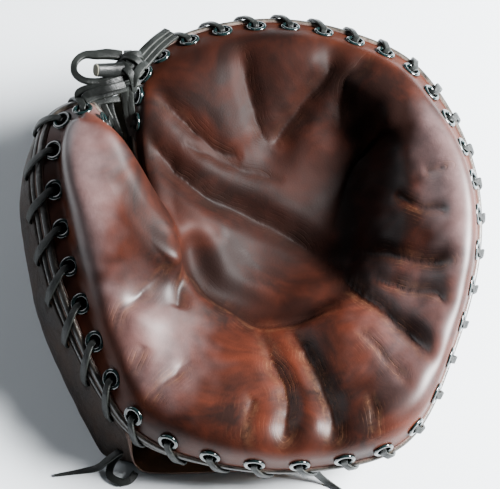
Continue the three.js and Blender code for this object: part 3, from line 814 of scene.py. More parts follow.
over = np.concatenate([evened_sides[0][0], evened_sides[1][0][::-1][1:]])
over_rim = np.concatenate([evened_sides[0][1], evened_sides[1][1][::-1][1:]])
thumb_ends_at = 7.2
root_starts_at = 2.6
root_ends_at = 8.2
free = smooth((over_rim - 0.85 * flange_width) / flange_width)[:, :, None]
on_thumb = smooth((thumb_ends_at - side_stations) / 1.6)[None, :, None]
at_root = smooth((side_stations - root_starts_at) / 1.2) * smooth((root_ends_at - side_stations) / 1.5)
at_root = at_root[None, :, None]
inside_ends = np.ones((1, palm_columns + 1, 1))
inside_ends[:, [0, -1]] = 0
over = rounded(over, free, rounds=50, axis=0)
over = rounded(over, free * on_thumb, rounds=500, axis=0)
for _ in range(4):
    over = rounded(over, free * at_root * inside_ends, rounds=60, axis=1)
    over = rounded(over, free * on_thumb, rounds=60, axis=0)
pushes = [
    # a place on the palm, how far the push reaches, and the push, in mm
    ((-50, -20, 77), 19, (16, -9, 5)),
    ((-86, 22, 98), 26, (1, 0, 3)),
    ((-70, -4, 92), 26, (3, 0, 3)),
    ((-106, 28, 92), 18, (-1, 0, 5)),
    ((-104, 0, 85), 20, (-1, 0, 6)),
    ((-96, -32, 78), 20, (-1, 0, 6)),
    ((-78, -62, 68), 20, (-1, -1, 4)),
]
for place, size, push in pushes:
    gap = length_of(over - np.array(place))
    over = over + bell(gap, size) * free * np.array(push)
rounded_sides = [over[:palm_row_count], over[palm_row_count - 1:][::-1]]
print("the thumb is rounded,", len(pushes), "pushes")

# %% [markdown]
# The palm becomes a mesh: the outer skin, the lining under it and a strip that closes the rim between them.
# The real hide has no thickness that shows, but a closed skin holds its shape from every side, and a solid
# modifier would fold through itself in the creases. The mesh also carries each point's length from the rim.

# %% Palm mesh
palm_grids = []
for section, outer_rows, (_, from_rim) in zip(both_sides, rounded_sides, evened_sides):
    lining, lining_normals, depths = palm_rows(section, flange_rows=1, roll_rows=6, pocket_rows=8)
    sunk = lining_depth * smooth(np.linspace(0, 4, len(lining)))[:, None, None]
    lining = lining - lining_normals * (depths + sunk)
    palm_grids.append((outer_rows, 0, {"outer": np.ones(from_rim.shape), "from_rim": from_rim}))
    palm_grids.append((lining, 1, {}))
    palm_grids.append((np.array([outer_rows[0], lining[0]]), 1, {}))
palm_mesh = skin_mesh("palm", palm_grids)
outer = read_attribute(palm_mesh, "outer")
from_rim = read_attribute(palm_mesh, "from_rim")
on_skin = outer > 0.5
clear_of_lace = smooth((from_rim - flange_width) / flange_width) * on_skin
relax(palm_mesh, clear_of_lace * 0.5, 10)
print("palm points", len(outer))

# %% [markdown]
# Where the folds lie. A pad bends in broad dents, and its hide breaks in sharp creases where the dents meet.
# Each fold is a short list of points on the palm, read from the photo. They could be painted as a height
# map, but a list can be moved point by point.

# %% Places of the folds
broad_folds = [
    # depth and width in mm, then across, along and height in %
    (3.6, 12.8, [(-46, 41, 70), (-33, 24, 77), (0, 12, 49), (22, 5, 35), (37, -9, 40)]),
    (4.0, 12.8, [(38, 83, 90), (34, 67, 89), (25, 57, 78), (11, 38, 64)]),
    (3.4, 12.8, [(75, -63, 59), (65, -52, 64), (45, -26, 54), (36, -11, 41)]),
    (3.4, 12.8, [(30, -100, 39), (33, -84, 57), (24, -58, 58), (16, -43, 53)]),
    (7.5, 8.5, [(-24, -10, 58), (-16, -23, 50), (-4, -28, 42), (11, -32, 40), (25, -32, 42), (37, -26, 42)]),
    (3.2, 12.8, [(14, -101, 38), (15, -82, 56), (10, -62, 57), (4, -41, 50)]),
    (3.2, 12.8, [(-43, 57, 88), (-27, 42, 85), (-13, 33, 72), (-2, 33, 65)]),
    (3.2, 12.8, [(-5, 86, 93), (-1, 65, 90), (4, 48, 76), (11, 38, 64)]),
    (3.2, 12.8, [(56, 85, 81), (49, 70, 90), (41, 62, 86), (40, 48, 66)]),
    (3.2, 12.8, [(91, -22, 62), (76, -20, 69), (60, -14, 65), (44, -4, 44)]),
    (3.2, 12.8, [(80, -41, 64), (76, -34, 67), (62, -29, 66), (49, -19, 55)]),
    (3.6, 12.8, [(-29, -16, 61), (-36, -28, 70), (-51, -42, 72), (-54, -49, 68)]),
]
creases = [
    # depth and width in mm, then points of the crease in mm
    (3.5, 2.6, [(-59, 78, 88), (-37, 58, 85), (-18, 46, 72), (-3, 45, 65)]),
    (2.2, 2.2, [(-39, 46, 81), (-22, 42, 72), (0, 39, 60), (21, 38, 52)]),
    (9.0, 3.6, [(-63, 56, 70), (-46, 33, 77), (-23, 20, 63), (0, 16, 49), (30, 7, 35), (51, -12, 40)]),
    (3.2, 2.6, [(-7, 119, 93), (-2, 90, 90), (5, 66, 76), (15, 53, 64)]),
    (8.0, 3.4, [(52, 115, 90), (47, 93, 89), (34, 78, 78), (23, 63, 68), (15, 53, 64)]),
    (3.0, 2.6, [(77, 117, 81), (67, 96, 90), (56, 86, 86), (55, 66, 66)]),
    (1.4, 2.0, [(132, 35, 62), (113, 28, 74), (101, 29, 76)]),
    (2.0, 2.4, [(116, 2, 71), (97, 8, 72), (85, 21, 67)]),
    (2.8, 2.6, [(125, -31, 62), (105, -28, 69), (83, -20, 65), (61, -5, 44)]),
    (2.8, 2.6, [(111, -56, 64), (105, -47, 67), (86, -40, 66), (67, -26, 55)]),
    (7.0, 3.2, [(104, -87, 59), (90, -72, 64), (77, -56, 63), (62, -36, 54), (50, -15, 41)]),
    (1.6, 1.8, [(88, -102, 59), (77, -87, 62), (68, -74, 61), (60, -64, 59)]),
    (1.6, 2.0, [(68, -131, 47), (69, -121, 55), (66, -106, 59)]),
    (6.5, 3.0, [(41, -138, 39), (46, -129, 51), (45, -116, 57), (40, -100, 58), (33, -80, 58),
                (22, -59, 53)]),
    (5.5, 3.0, [(19, -140, 38), (20, -127, 52), (21, -113, 56), (20, -101, 57), (14, -85, 57),
                (5, -57, 50)]),
    (1.4, 2.2, [(-2, -136, 45), (0, -113, 56), (3, -108, 57)]),
    (3.2, 2.6, [(-40, -22, 61), (-50, -39, 70), (-61, -50, 73), (-71, -58, 72), (-75, -67, 68),
                (-75, -75, 64)]),
    (2.0, 2.2, [(-35, -24, 57), (-39, -44, 60), (-41, -54, 62)]),
    (1.6, 2.2, [(-33, -84, 59), (-43, -96, 60), (-54, -106, 56), (-56, -113, 52)]),
    (1.6, 2.2, [(-59, -78, 65), (-63, -85, 63), (-66, -94, 59)]),
    (3.0, 3.0, [(-35, -13, 57), (-26, -34, 52), (-9, -45, 43), (7, -55, 49), (29, -53, 44), (52, -46, 44)]),
]
print("broad folds", len(broad_folds), "creases", len(creases))

# %% [markdown]
# How deep the skin goes. A broad dent falls off like a bell. A crease falls off like a cusp, with a low lip
# at each side, as leather breaks when it is bent again and again. A raggedness in the distance keeps the
# lines from looking drawn. The same distances give the masks for the painted shade of the valley and for the
# rubbed lips.

# %% Depth of the folds
def sampled(path, pieces=14):
    """Points along a Catmull-Rom curve through the path, with their share of the way."""
    path = np.array(path, float)
    stations = np.linspace(0, len(path) - 1, pieces * (len(path) - 1) + 1)
    return blend(path, stations, False), stations / (len(path) - 1)


def reach_to(points, path):
    """Distance of each point from a path, and how far along the path its nearest place is."""
    line, share = sampled(path)
    nearest = np.full(len(points), np.inf)
    at = np.zeros(len(points))
    for spot, along in zip(line, share):
        gap = np.linalg.norm(points - spot, axis=1)
        closer = gap < nearest
        nearest[closer] = gap[closer]
        at[closer] = along
    return nearest, at


def seat_on(path, points):
    """Moves the points of a crease to the skin under or over them."""
    seated = []
    for spot in np.array(path, float):
        gap = (points - spot) * [1, 1, 0.35]
        seated.append(points[np.argmin(np.einsum("ij,ij->i", gap, gap))])
    return seated


# The cross-section of a crease, in widths of the crease.
valley_width = 1.35
lip_place = 3.2
lip_width = 1.6
line_width = 0.42
shade_width = 1.7
rub_place = 1.2
rub_width = 0.6
far_from_folds = 60.0
palm_points = read_points(palm_mesh)
palm_normals = read_normals(palm_mesh)
skin = np.where(on_skin)[0]
skin_points = palm_points[skin]
dent = np.zeros(len(skin))
for depth, width, path in broad_folds:
    path = np.array(path) * half_sizes / 100
    gap, _ = reach_to(skin_points, path)
    dent += depth * bell(gap, width)
ragged = np.column_stack([rough_field(skin_points, 9.0, seed) for seed in (1, 2, 3)])
crease_shade_mask = np.zeros(len(skin))
lip_mask = np.zeros(len(skin))
fold_distance = np.full(len(skin), far_from_folds)
sharp = np.zeros(len(skin))
for depth, width, path in creases:
    seated = seat_on(path, skin_points)
    gap, at = reach_to(skin_points + ragged * 1.0, seated)
    strength = smooth(at / 0.25 + 0.15) * smooth((1 - at) / 0.25 + 0.15)
    strength *= np.where((at <= 0) | (at >= 1), np.exp(-gap / 5), 1)
    valley = np.exp(-gap / (valley_width * width))
    lip = bell(gap - lip_place * width, lip_width * width)
    sharp += strength * depth * (valley - 0.1 * lip)
    # The dark line and the wider shade round it are painted shade along the crease.
    line = bell(gap, line_width * width) * min(0.35 + depth / 7, 1)
    shade = 0.5 * min(depth / 6, 1) * bell(gap, shade_width * width)
    crease_shade_mask = np.maximum(crease_shade_mask, strength * np.maximum(line, shade))
    lip_mask = np.maximum(lip_mask, strength * bell(gap - rub_place * width, rub_width * width))
    fold_distance = np.minimum(fold_distance, gap + 14 * (1 - strength))
print("creased points", int((crease_shade_mask > 0.5).sum()))

# %% [markdown]
# The skin moves along its normals by the sum of the folds, held to a greatest depth, with soft lumps from the
# felt. By the rim the pad swells, as it does over the lacing, and the bend beside the eyelets and the thumb's
# root are eased. A displace modifier could move it, but then the masks would have to be made twice.

# %% Folded skin
deepest = 10.5
swell_height = 3.6
root_place = np.array([-50, -21, 66])
puff = rough_field(skin_points, 34.0, 5) * 1.1 + rough_field(skin_points, 14.0, 6) * 0.35
fade = clear_of_lace[skin]
ridge_gap, _ = reach_to(skin_points, ridge / 100 * half_sizes)
swell = swell_height * smooth((from_rim[skin] - 0.72 * flange_width) / 12)
swell *= smooth((60 - from_rim[skin]) / 34)
swell *= smooth(ridge_gap / 16)
move = (puff - deepest * np.tanh((dent + sharp) / deepest)) * fade + swell
palm_points[skin] += palm_normals[skin] * move[:, None]
write_points(palm_mesh, palm_points)
past_eyelets = smooth((from_rim - 0.62 * flange_width) / (0.3 * flange_width))
at_bend = 0.25 * smooth((3.0 * flange_width - from_rim) / (1.4 * flange_width))
at_shoulder = smooth((4.6 * flange_width - from_rim) / (1.8 * flange_width))
at_shoulder *= smooth((-62 - palm_points[:, 0]) / 24)
from_root = np.linalg.norm(palm_points - root_place, axis=1)
eased = past_eyelets * np.maximum(at_bend, at_shoulder)
eased = np.maximum(eased, 0.45 * bell(from_root, 13))
relax(palm_mesh, eased * on_skin * 0.8, 100)
palm_points = read_points(palm_mesh)
print("deepest fold", round(-float(move.min()), 1), "mm")

# %% [markdown]
# The holes under the eyelets are shallow dents that the rings cover, painted near black as the shade inside
# them. Then come the marks of use and the painted light. Oil, a ball's blows and painted shade have darkened
# the pocket and the hollow under the thumb's root, hands have rubbed the thumb and the heel, a painted sheen
# pales them and the right rim, and the leather by the lace is warm and unfaded. Each mark is a patch with a
# ragged border. Attributes on the mesh hand them to the leather's recipe, where a painted image would need a
# map of the skin.

# %% Holes and masks of the palm
hole_radius = 3.4
hole_depth = 2.2
hole_border = 1.2
hole_mask = np.zeros(len(palm_points))
near_rim = np.where(on_skin & (from_rim < 2 * flange_width))[0]
for center in hole_points:
    gap = np.linalg.norm(palm_points[near_rim] - center, axis=1)
    hole_mask[near_rim] = np.maximum(hole_mask[near_rim], smooth((hole_radius - gap) / hole_border + 0.5))
palm_points -= palm_normals * (hole_mask * hole_depth)[:, None]
write_points(palm_mesh, palm_points)


def spread(values):
    full = np.zeros(len(palm_points))
    full[skin] = values
    return full


def patch(center, size):
    """1 in the middle of a patch and 0 outside it, with a ragged border."""
    gap = (skin_points - np.array(center)) / np.array(size)
    return smooth(1.5 - np.linalg.norm(gap, axis=1) + ragged[:, 0] * 0.25)


# Oil and painted shade: dark patches in the pocket, at the top and in the hollow under the thumb's root.
oil_and_shade_patches = [
    # strength, middle and size in mm
    (1.0, (22, 22, 45), (62, 52, 60)),
    (0.7, (48, 62, 60), (46, 46, 60)),
    (0.6, (-15, -8, 50), (40, 26, 50)),
    (0.85, (-28, 32, 68), (44, 52, 40)),
    (0.6, (-62, 0, 78), (14, 52, 26)),
    (0.85, (8, 90, 86), (80, 46, 44)),
    (0.4, (-42, -42, 60), (26, 26, 30)),
    (1.0, (-26, -19, 52), (17, 13, 26)),
    (1.0, (-14, -30, 49), (17, 13, 26)),
    (1.0, (3, -40, 46), (17, 13, 26)),
    (1.0, (24, -45, 44), (17, 13, 26)),
    (0.8, (-8, -16, 52), (26, 20, 30)),
]
# Rubbed gloss and painted sheen: the thumb, the heel, the right rim and the lower right.
rub_and_sheen_patches = [
    # strength, middle and size in mm
    (0.9, (-106, -6, 92), (25, 74, 60)),
    (0.45, (-66, -80, 62), (38, 36, 50)),
    (1.0, (122, 48, 74), (20, 66, 50)),
    (0.3, (100, -70, 60), (34, 44, 50)),
]
pocket_oil_shade_mask = np.zeros(len(skin))
for strength, center, size in oil_and_shade_patches:
    pocket_oil_shade_mask = np.maximum(pocket_oil_shade_mask, strength * patch(center, size))
sheen_mask = np.zeros(len(skin))
for strength, center, size in rub_and_sheen_patches:
    sheen_mask += strength * patch(center, size)
sheen_mask *= smooth((from_rim[skin] - 1.3 * flange_width) / (0.9 * flange_width))
# The thumb's tip gets a painted sheen too.
from_tip = np.linalg.norm(skin_points - np.array([-97, 60, 90]), axis=1)
sheen_mask = np.maximum(sheen_mask, 0.65 * bell(from_tip, 20))
flange_mask = 1 - smooth((from_rim[skin] - flange_width * 0.8) / 14)
flange_mask = flange_mask * (1 - 0.9 * bell(from_tip, 24))
masks = {
    # painted shade in the holes
    "hole": hole_mask,
    # painted shade along the creases
    "crease": spread(crease_shade_mask * fade),
    "lip": spread(lip_mask * fade),
    "fold_distance": spread(fold_distance) + far_from_folds * ~on_skin,
    # oil and painted shade
    "pocket": spread(np.clip(pocket_oil_shade_mask, 0, 1)),
    # rubbed gloss and painted sheen
    "sheen": spread(np.clip(sheen_mask, 0, 1)),
    "flange": spread(flange_mask),
}
for mask_name, values in masks.items():
    write_attribute(palm_mesh, mask_name, values)
palm = finish_mesh("palm_hide", palm_mesh, palm_skin, lining_skin)
settle(palm, "palm_leather", "palm")

# %% [markdown]
# The back of the mitt: one hide from the welt down to the floor, flat where it lies, with a hem left open at
# the heel for the hand. It is lofted like the palm, from the same rim, so the two meet at the welt without
# any fitting. Two shells make it, the outer one and the one inside it, joined by a lip round the opening.

# %% Back of the mitt
def wall_rows(section, rows, depth):
    start = section.edge - section.along(0) * edge_gap
    head = section.floor + (start - section.floor) * section.hem
    fall = wall_fullness * section.edge[:, 2:3] * section.hem
    shoulder = head - section.along(wall_start_degrees) * fall
    outward = hem_return / 2 * (1 - section.hem) - section.belly * section.hem
    bottom = section.floor + section.inward * outward
    foot = section.floor + section.inward * hem_return * (1 - section.hem)

    def inside(angle):
        return unit(up * (1 - section.hem) - section.normal(angle) * section.hem)

    head = head + inside(0) * depth
    shoulder = shoulder + inside(wall_start_degrees) * depth
    raise_foot = up * depth + section.inward * depth * section.hem
    return np.array([cubic(head, shoulder, bottom + raise_foot, foot + raise_foot, q)
                     for q in np.linspace(0, 1, rows + 1)])


back_grids = []
shells = [[wall_rows(section, rows=30, depth=depth) for section in both_sides] for depth in (0, back_leather)]
for level, shell in enumerate(shells):
    for rows in shell:
        back_grids.append((rows, level, {"wall": np.ones(rows.shape[:2])}))
    left, right = shell[0][-1], shell[1][-1]
    floor_rows = np.array([left + (right - left) * q for q in np.linspace(0, 1, 9)])
    back_grids.append((floor_rows, level, {}))
for side in (0, 1):
    lip_rows = np.array([shells[0][side][0], shells[1][side][0]])
    back_grids.append((lip_rows, 2, {}))
back_mesh = skin_mesh("back", back_grids)
back_points = read_points(back_mesh)
back_normals = read_normals(back_mesh)
wall = read_attribute(back_mesh, "wall") * smooth(back_points[:, 2] / 6)
crumple = rough_field(back_points, 22.0, 8) * 0.7 + rough_field(back_points * [1, 1, 2.2], 8.0, 9) * 0.25
back_points += back_normals * (crumple * wall)[:, None]
print("back points", len(back_points))

# %% [markdown]
# Where the lace enters the back. Each turn of the whip lace comes down a little further along the edge, so
# these holes are stepped on by a share of the pitch. The lace itself will pass through the same points. A
# real awl leaves a small dimple, and a dent in the skin gives one without cutting the mesh.

# %% Lace holes in the back
lace_lean = 0.35
lace_width = 4.4
lace_thickness = 1.6
lace_rounding = 0.6
dimple_radius = 2.9
dimple_border = 1.5
dimple_depth = 1.5
hole_inset = edge_gap + flange_width / 2
landing = section_at(station_at(hole_lengths + hole_pitches * lace_lean))
landing_wall = wall_rows(landing, rows=12, depth=0)
landing_down = unit(landing_wall[1] - landing_wall[0])
landing_points = landing_wall[0] + landing_down * (hole_inset - welt_width / 2)
landing_out = unit(np.cross(landing_down, landing.tangent))
landing_out *= np.sign(np.sum(landing_out * landing.normal(0), axis=1, keepdims=True))
laced = landing.hem[:, 0] > 0.995
back_hole = np.zeros(len(back_points))
for center in landing_points[laced]:
    gap = np.linalg.norm(back_points - center, axis=1)
    back_hole = np.maximum(back_hole, smooth((dimple_radius - gap) / dimple_border + 0.5))
back_points -= back_normals * (back_hole * dimple_depth * wall)[:, None]
write_points(back_mesh, back_points)
write_attribute(back_mesh, "raw", np.zeros(len(back_points)))
back = finish_mesh("back_hide", back_mesh, back_skin, lining_skin, raw_edge)
settle(back, "back_leather", "back")
print("lace holes in the back", int(laced.sum()))

# %% [markdown]
# Strips and laces follow paths, so Geometry Nodes sweep them. The path is a mesh of edges whose points carry
# two attributes: the flat direction of the strip and how wide it is there. The section is a rectangle with
# rounded corners, and an attribute across it lets the leather wear at the edges. A curve with a bevel would
# sweep too, but its flat side turns over in a sharp bend, and a lace shows that at once.

# %% Geometry Nodes for strips and laces
sweep = new_group(
    "swept_strip", "GeometryNodeTree",
    [("Path", "NodeSocketGeometry", None), ("Width", value, 0.004), ("Thickness", value, 0.0016),
     ("Rounding", value, 0.0006), ("Finish", "NodeSocketMaterial", None)],
    [("Geometry", "NodeSocketGeometry")],
)
g = sweep.given
path_curve = sweep.add("GeometryNodeMeshToCurve", {"Mesh": g["Path"]})
flat_way = sweep.add("GeometryNodeInputNamedAttribute", {"Name": "flat"}, data_type="FLOAT_VECTOR")
girth = sweep.add("GeometryNodeInputNamedAttribute", {"Name": "girth"}, data_type="FLOAT")
path_curve = sweep.add("GeometryNodeSetCurveNormal", {"Curve": path_curve, "Normal": flat_way}, mode="FREE")
outline = sweep.add("GeometryNodeCurvePrimitiveQuadrilateral",
                    {"Width": g["Width"], "Height": g["Thickness"]}, mode="RECTANGLE")
corners = {"Curve": outline, "Count": 3, "Radius": g["Rounding"], "Limit Radius": True}
outline = sweep.add("GeometryNodeFilletCurve", corners, mode="POLY")
place_across = sweep.add("ShaderNodeSeparateXYZ", [sweep.add("GeometryNodeInputPosition")])
off_middle = sweep.math("ABSOLUTE", place_across)
off_middle = sweep.math("DIVIDE", off_middle, sweep.math("MULTIPLY", g["Width"], 0.5))
side_store = {"Geometry": outline, "Name": "side", "Value": off_middle}
outline = sweep.add("GeometryNodeStoreNamedAttribute", side_store, data_type="FLOAT", domain="POINT")
strip = sweep.add("GeometryNodeCurveToMesh",
                  {"Curve": path_curve, "Profile Curve": outline, "Scale": girth, "Fill Caps": True})
strip = sweep.add("GeometryNodeSetShadeSmooth", {"Geometry": strip, "Shade Smooth": True})
strip = sweep.add("GeometryNodeRealizeInstances", {"Geometry": strip})
strip = sweep.add("GeometryNodeSetMaterial", {"Geometry": strip, "Material": g["Finish"]})
sweep.give("Geometry", strip)


def baked(name, source, group, **sizes):
    """Runs a Geometry Nodes group on a mesh and keeps the result as a plain mesh."""
    carrier = link(name + "_path", source)
    modifier = carrier.modifiers.new("nodes", "NODES")
    modifier.node_group = group.tree
    identifiers = {item.name: item.identifier for item in group.tree.interface.items_tree
                   if item.item_type == "SOCKET" and item.in_out == "INPUT"}
    for size_name, size in sizes.items():
        modifier[identifiers[size_name.replace("_", " ")]] = size
    evaluated = carrier.evaluated_get(bpy.context.evaluated_depsgraph_get())
    mesh = bpy.data.meshes.new_from_object(evaluated)
    carrier.modifiers.clear()
    bpy.data.objects.remove(carrier)
    return link(name, mesh)


def path_mesh(paths):
    """paths: a list of (points, flat directions, widths as shares, closed), in mitt millimetres."""
    points, edges, flats, girths = [], [], [], []
    for path, flat, wide, closed in paths:
        first = sum(len(part) for part in points)
        count = len(path)
        points.append(to_frame(path))
        edges += [(first + i, first + (i + 1) % count) for i in range(count if closed else count - 1)]
        flats.append(unit(np.asarray(flat, float)))
        girths.append(np.broadcast_to(np.asarray(wide, float), (count,)))
    mesh = bpy.data.meshes.new("path")
    mesh.from_pydata(np.concatenate(points).tolist(), edges, [])
    write_attribute(mesh, "flat", np.concatenate(flats), "FLOAT_VECTOR")
    write_attribute(mesh, "girth", np.concatenate(girths))
    return mesh


def strip_piece(name, paths, width, thickness, rounding, finish):
    """Sweeps a strip along each path. Its sizes are in millimetres."""
    return baked(name, path_mesh(paths), sweep, Width=width * mm, Thickness=thickness * mm,
                 Rounding=rounding * mm, Finish=finish)


def wear_from_side(piece, name, low, high):
    """Turns the distance across a strip into a wear mask for its material."""
    side = read_attribute(piece.data, "side")
    write_attribute(piece.data, name, np.clip((side - low) / (high - low), 0, 1))


print("sweep inputs", [item.name for item in sweep.tree.interface.items_tree])

# %% [markdown]
# The welt. Two rounded strips lie between the palm and the back all round the mitt, with the raw edge of a
# folded hide showing pale between them and beside the palm. Four sweeps along the same loop make it, so they
# stay parallel. A slow wobble keeps the strips from looking pressed in a mould.

# %% Welt
welt_steps = 560
welt_path = section_at(np.arange(welt_steps) * turns / welt_steps)
welt_waves = 9
wobble_depth = 0.12
welt_wobble = np.sin(np.arange(welt_steps) * 2 * np.pi * welt_waves / welt_steps) * wobble_depth


def welt_strip(name, along, out, width, thickness, finish, rounding):
    path = beside(welt_path, along, out + welt_wobble[:, None])
    return strip_piece(name, [(path, welt_path.along(0), 1, True)], width, thickness, rounding, finish)


welt_pieces = [
    # name, along and out from the edge, width, thickness, finish, rounding
    welt_strip("welt_inner", 2.8, 0.5, 4.8, 3.6, welt_skin, 1.7),
    welt_strip("welt_outer", -3.1, -0.1, 3.8, 3.0, welt_skin, 1.4),
    welt_strip("welt_core_edge", -0.05, 0.2, 0.9, 2.6, raw_edge, 0.3),
    welt_strip("welt_palm_edge", 5.35, -0.5, 0.6, 2.4, raw_edge, 0.2),
]
for piece in welt_pieces[:2]:
    # The crowns take wear and a painted highlight.
    wear_from_side(piece, "highlit_crown_wear", 0.75, 1.1)
settle(welt_pieces[0], "welt_leather", "edge_welt")
for piece in welt_pieces[1:]:
    settle(piece, "welt_leather")

# %% [markdown]
# The eyelets are rolled metal rings. One ring is drawn once, and Geometry Nodes place it at every hole,
# turned to face out of the leather, with a seeded turn about its own axis so that no two catch the light
# alike. Forty copies placed by hand would look the same and be slow to change.

# %% Geometry Nodes for the eyelets
rings = new_group(
    "eyelet_rings", "GeometryNodeTree",
    [("Holes", "NodeSocketGeometry", None), ("Ring Radius", value, 0.0044), ("Roll Width", value, 0.0026),
     ("Roll Height", value, 0.0018), ("Barrel Depth", value, 0.003), ("Seed", "NodeSocketInt", 3),
     ("Finish", "NodeSocketMaterial", None)],
    [("Geometry", "NodeSocketGeometry")],
)
g = rings.given
circle = rings.add("GeometryNodeCurvePrimitiveCircle", {"Resolution": 28, "Radius": g["Ring Radius"]})
roll = rings.add("GeometryNodeCurvePrimitiveCircle", {"Resolution": 10, "Radius": 0.5})
roll_size = rings.add("ShaderNodeCombineXYZ", [g["Roll Width"], g["Roll Height"], 1.0])
roll = rings.add("GeometryNodeTransform", {"Geometry": roll, "Scale": roll_size})
ring = rings.add("GeometryNodeCurveToMesh", {"Curve": circle, "Profile Curve": roll})
inner_radius = rings.math("SUBTRACT", g["Ring Radius"], rings.math("MULTIPLY", g["Roll Width"], 0.42))
barrel = rings.add("GeometryNodeMeshCylinder",
                   {"Vertices": 28, "Radius": inner_radius, "Depth": g["Barrel Depth"]}, fill_type="NONE")
sink = rings.add("ShaderNodeCombineXYZ", [0.0, 0.0, rings.math("MULTIPLY", g["Barrel Depth"], -0.5)])
barrel = rings.add("GeometryNodeTransform", {"Geometry": barrel, "Translation": sink})
barrel = rings.add("GeometryNodeFlipFaces", {"Mesh": barrel})
joined = rings.tree.nodes.new("GeometryNodeJoinGeometry")
rings.tree.links.new(ring, joined.inputs[0])
rings.tree.links.new(barrel, joined.inputs[0])
facing = rings.add("GeometryNodeInputNamedAttribute", {"Name": "facing"}, data_type="FLOAT_VECTOR")
turned = rings.add("FunctionNodeAlignRotationToVector", {"Vector": facing}, axis="Z")
spin = rings.add("FunctionNodeRandomValue", {2: 0.0, 3: 6.28, "Seed": g["Seed"]}, 1, data_type="FLOAT")
spin = rings.add("ShaderNodeCombineXYZ", [0.0, 0.0, spin])
turned = rings.add("FunctionNodeRotateRotation", {"Rotation": turned, "Rotate By": spin},
                   rotation_space="LOCAL")
ring_scale = rings.add("FunctionNodeRandomValue", {2: 0.97, 3: 1.04, "Seed": g["Seed"]}, 1,
                       data_type="FLOAT")
copies = {"Points": g["Holes"], "Instance": joined.outputs[0], "Rotation": turned, "Scale": ring_scale}
placed = rings.add("GeometryNodeInstanceOnPoints", copies)
placed = rings.add("GeometryNodeRealizeInstances", {"Geometry": placed})
placed = rings.add("GeometryNodeSetShadeSmooth", {"Geometry": placed, "Shade Smooth": True})
placed = rings.add("GeometryNodeSetMaterial", {"Geometry": placed, "Material": g["Finish"]})
rings.give("Geometry", placed)
print("ring inputs", [item.name for item in rings.tree.interface.items_tree])

# %% [markdown]
# The eyelets on this mitt: a cloud of points, one in each hole, that says which way the leather faces there.
# The rings rest on the skin, so the points are lifted by a little less than half of the roll. The points come
# from the same table of holes as the lace, so every lace finds its ring.

# %% Eyelets
ring_lift = 0.75
hole_cloud = bpy.data.meshes.new("holes")
hole_cloud.from_pydata(to_frame(hole_points + hole_normals * ring_lift).tolist(), [], [])
write_attribute(hole_cloud, "facing", hole_normals, "FLOAT_VECTOR")
eyelets = baked("eyelets", hole_cloud, rings, Ring_Radius=4.8 * mm, Roll_Width=2.6 * mm,
                Roll_Height=1.9 * mm, Barrel_Depth=2.6 * mm, Seed=3, Finish=enamel)
settle(eyelets, "eyelet_enamel", *[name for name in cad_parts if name.startswith("eyelet")])

# %% [markdown]
# The whip lace. It comes up through an eyelet, folded narrow by the ring, spreads as it crosses the welt and
# dives into the back a little further on. Each turn is one smooth path through seven points, taken from the
# sections of the mitt, so the lace lies on the leather everywhere. A rope simulation would only slip.

# %% Lace
def read_off(table, rows):
    """The vectors of a table at rows that needn't be whole numbers."""
    return np.column_stack([np.interp(rows, range(len(table)), table[:, axis]) for axis in range(3)])


welt_over = 1.3 + 2 * clearance + lace_thickness / 2
over_inner, over_outer = (section_at(station_at(hole_lengths + hole_pitches * lace_lean * share))
                          for share in (0.42, 0.75))
toward_welt = unit(hole_sections.along(0) * -1)
turn_points = [
    hole_points - hole_normals * 2.6,
    hole_points + hole_normals * 1.0 + toward_welt * 0.6,
    hole_points + hole_normals * 3.0 + toward_welt * 3.6,
    beside(over_inner, 5.0, welt_over + 0.4),
    beside(over_outer, -3.6, welt_over + 0.2),
    landing_points + landing_out * 1.3 - landing_down * 1.2,
    landing_points - landing_out * 3.2 + landing_down * 0.6,
]
under = -(edge_gap + 0.9)
hem_points = [beside(landing, under, 1.0), beside(landing, under, -3.4) + landing.along(0) * 0.4]
for place, hem_point in zip((5, 6), hem_points):
    turn_points[place] = np.where(laced[:, None], turn_points[place], hem_point)
turn_points = np.array(turn_points)
turn_widths = np.array([0.78, 0.78, 0.86, 1.04, 1.14, 1.0, 0.8])
lace_paths = []
for i in range(len(hole_points)):
    points, share = sampled(turn_points[:, i], 6)
    wide = np.interp(share * 6, range(7), turn_widths)
    run = unit(np.gradient(points, axis=0))
    face = np.array([hole_normals[i]] * 3 + [over_inner.normal(0)[i], over_outer.normal(0)[i]]
                    + [landing_out[i]] * 2)
    face = read_off(face, share * 6)
    flat = unit(np.cross(run, face))
    spare = unit(hole_sections.tangent[i])
    weak = length_of(np.cross(run, face)) < 0.25
    flat = np.where(weak, spare - run * np.sum(run * spare, axis=1, keepdims=True), flat)
    flat *= np.sign(np.sum(flat * spare, axis=1, keepdims=True))
    lace_paths.append((points, flat, wide, False))
lace = strip_piece("whip_lace", lace_paths, lace_width, lace_thickness, lace_rounding, lace_skin)
wear_from_side(lace, "across", 0.8, 1.4)
settle(lace, "lace_leather", "lace")

# %% [markdown]
# Free lace: the ties that close the web, their knot and loop, and the ends that hang at the heel. Each route
# is a few points along which a strip is swept, and its flat side is carried along so that it never flips. A
# lace that lies still needs no simulation, and a route can follow the photo where a simulation can't.

# %% Helpers for free lace
def carried(points, first_flat):
    """Carries a flat direction along a path without twisting it."""
    run = unit(np.gradient(points, axis=0))
    flat = np.array(first_flat, float)
    flats = []
    for direction in run:
        flat = flat - direction * np.dot(direction, flat)
        flat /= np.linalg.norm(flat)
        flats.append(flat)
    return np.array(flats)


def strand(route, first_flat, wide=(1.0,), pieces=8):
    points, share = sampled(route, pieces)
    girth_along = np.interp(share, np.linspace(0, 1, len(wide)), wide)
    return points, carried(points, first_flat), girth_along, False


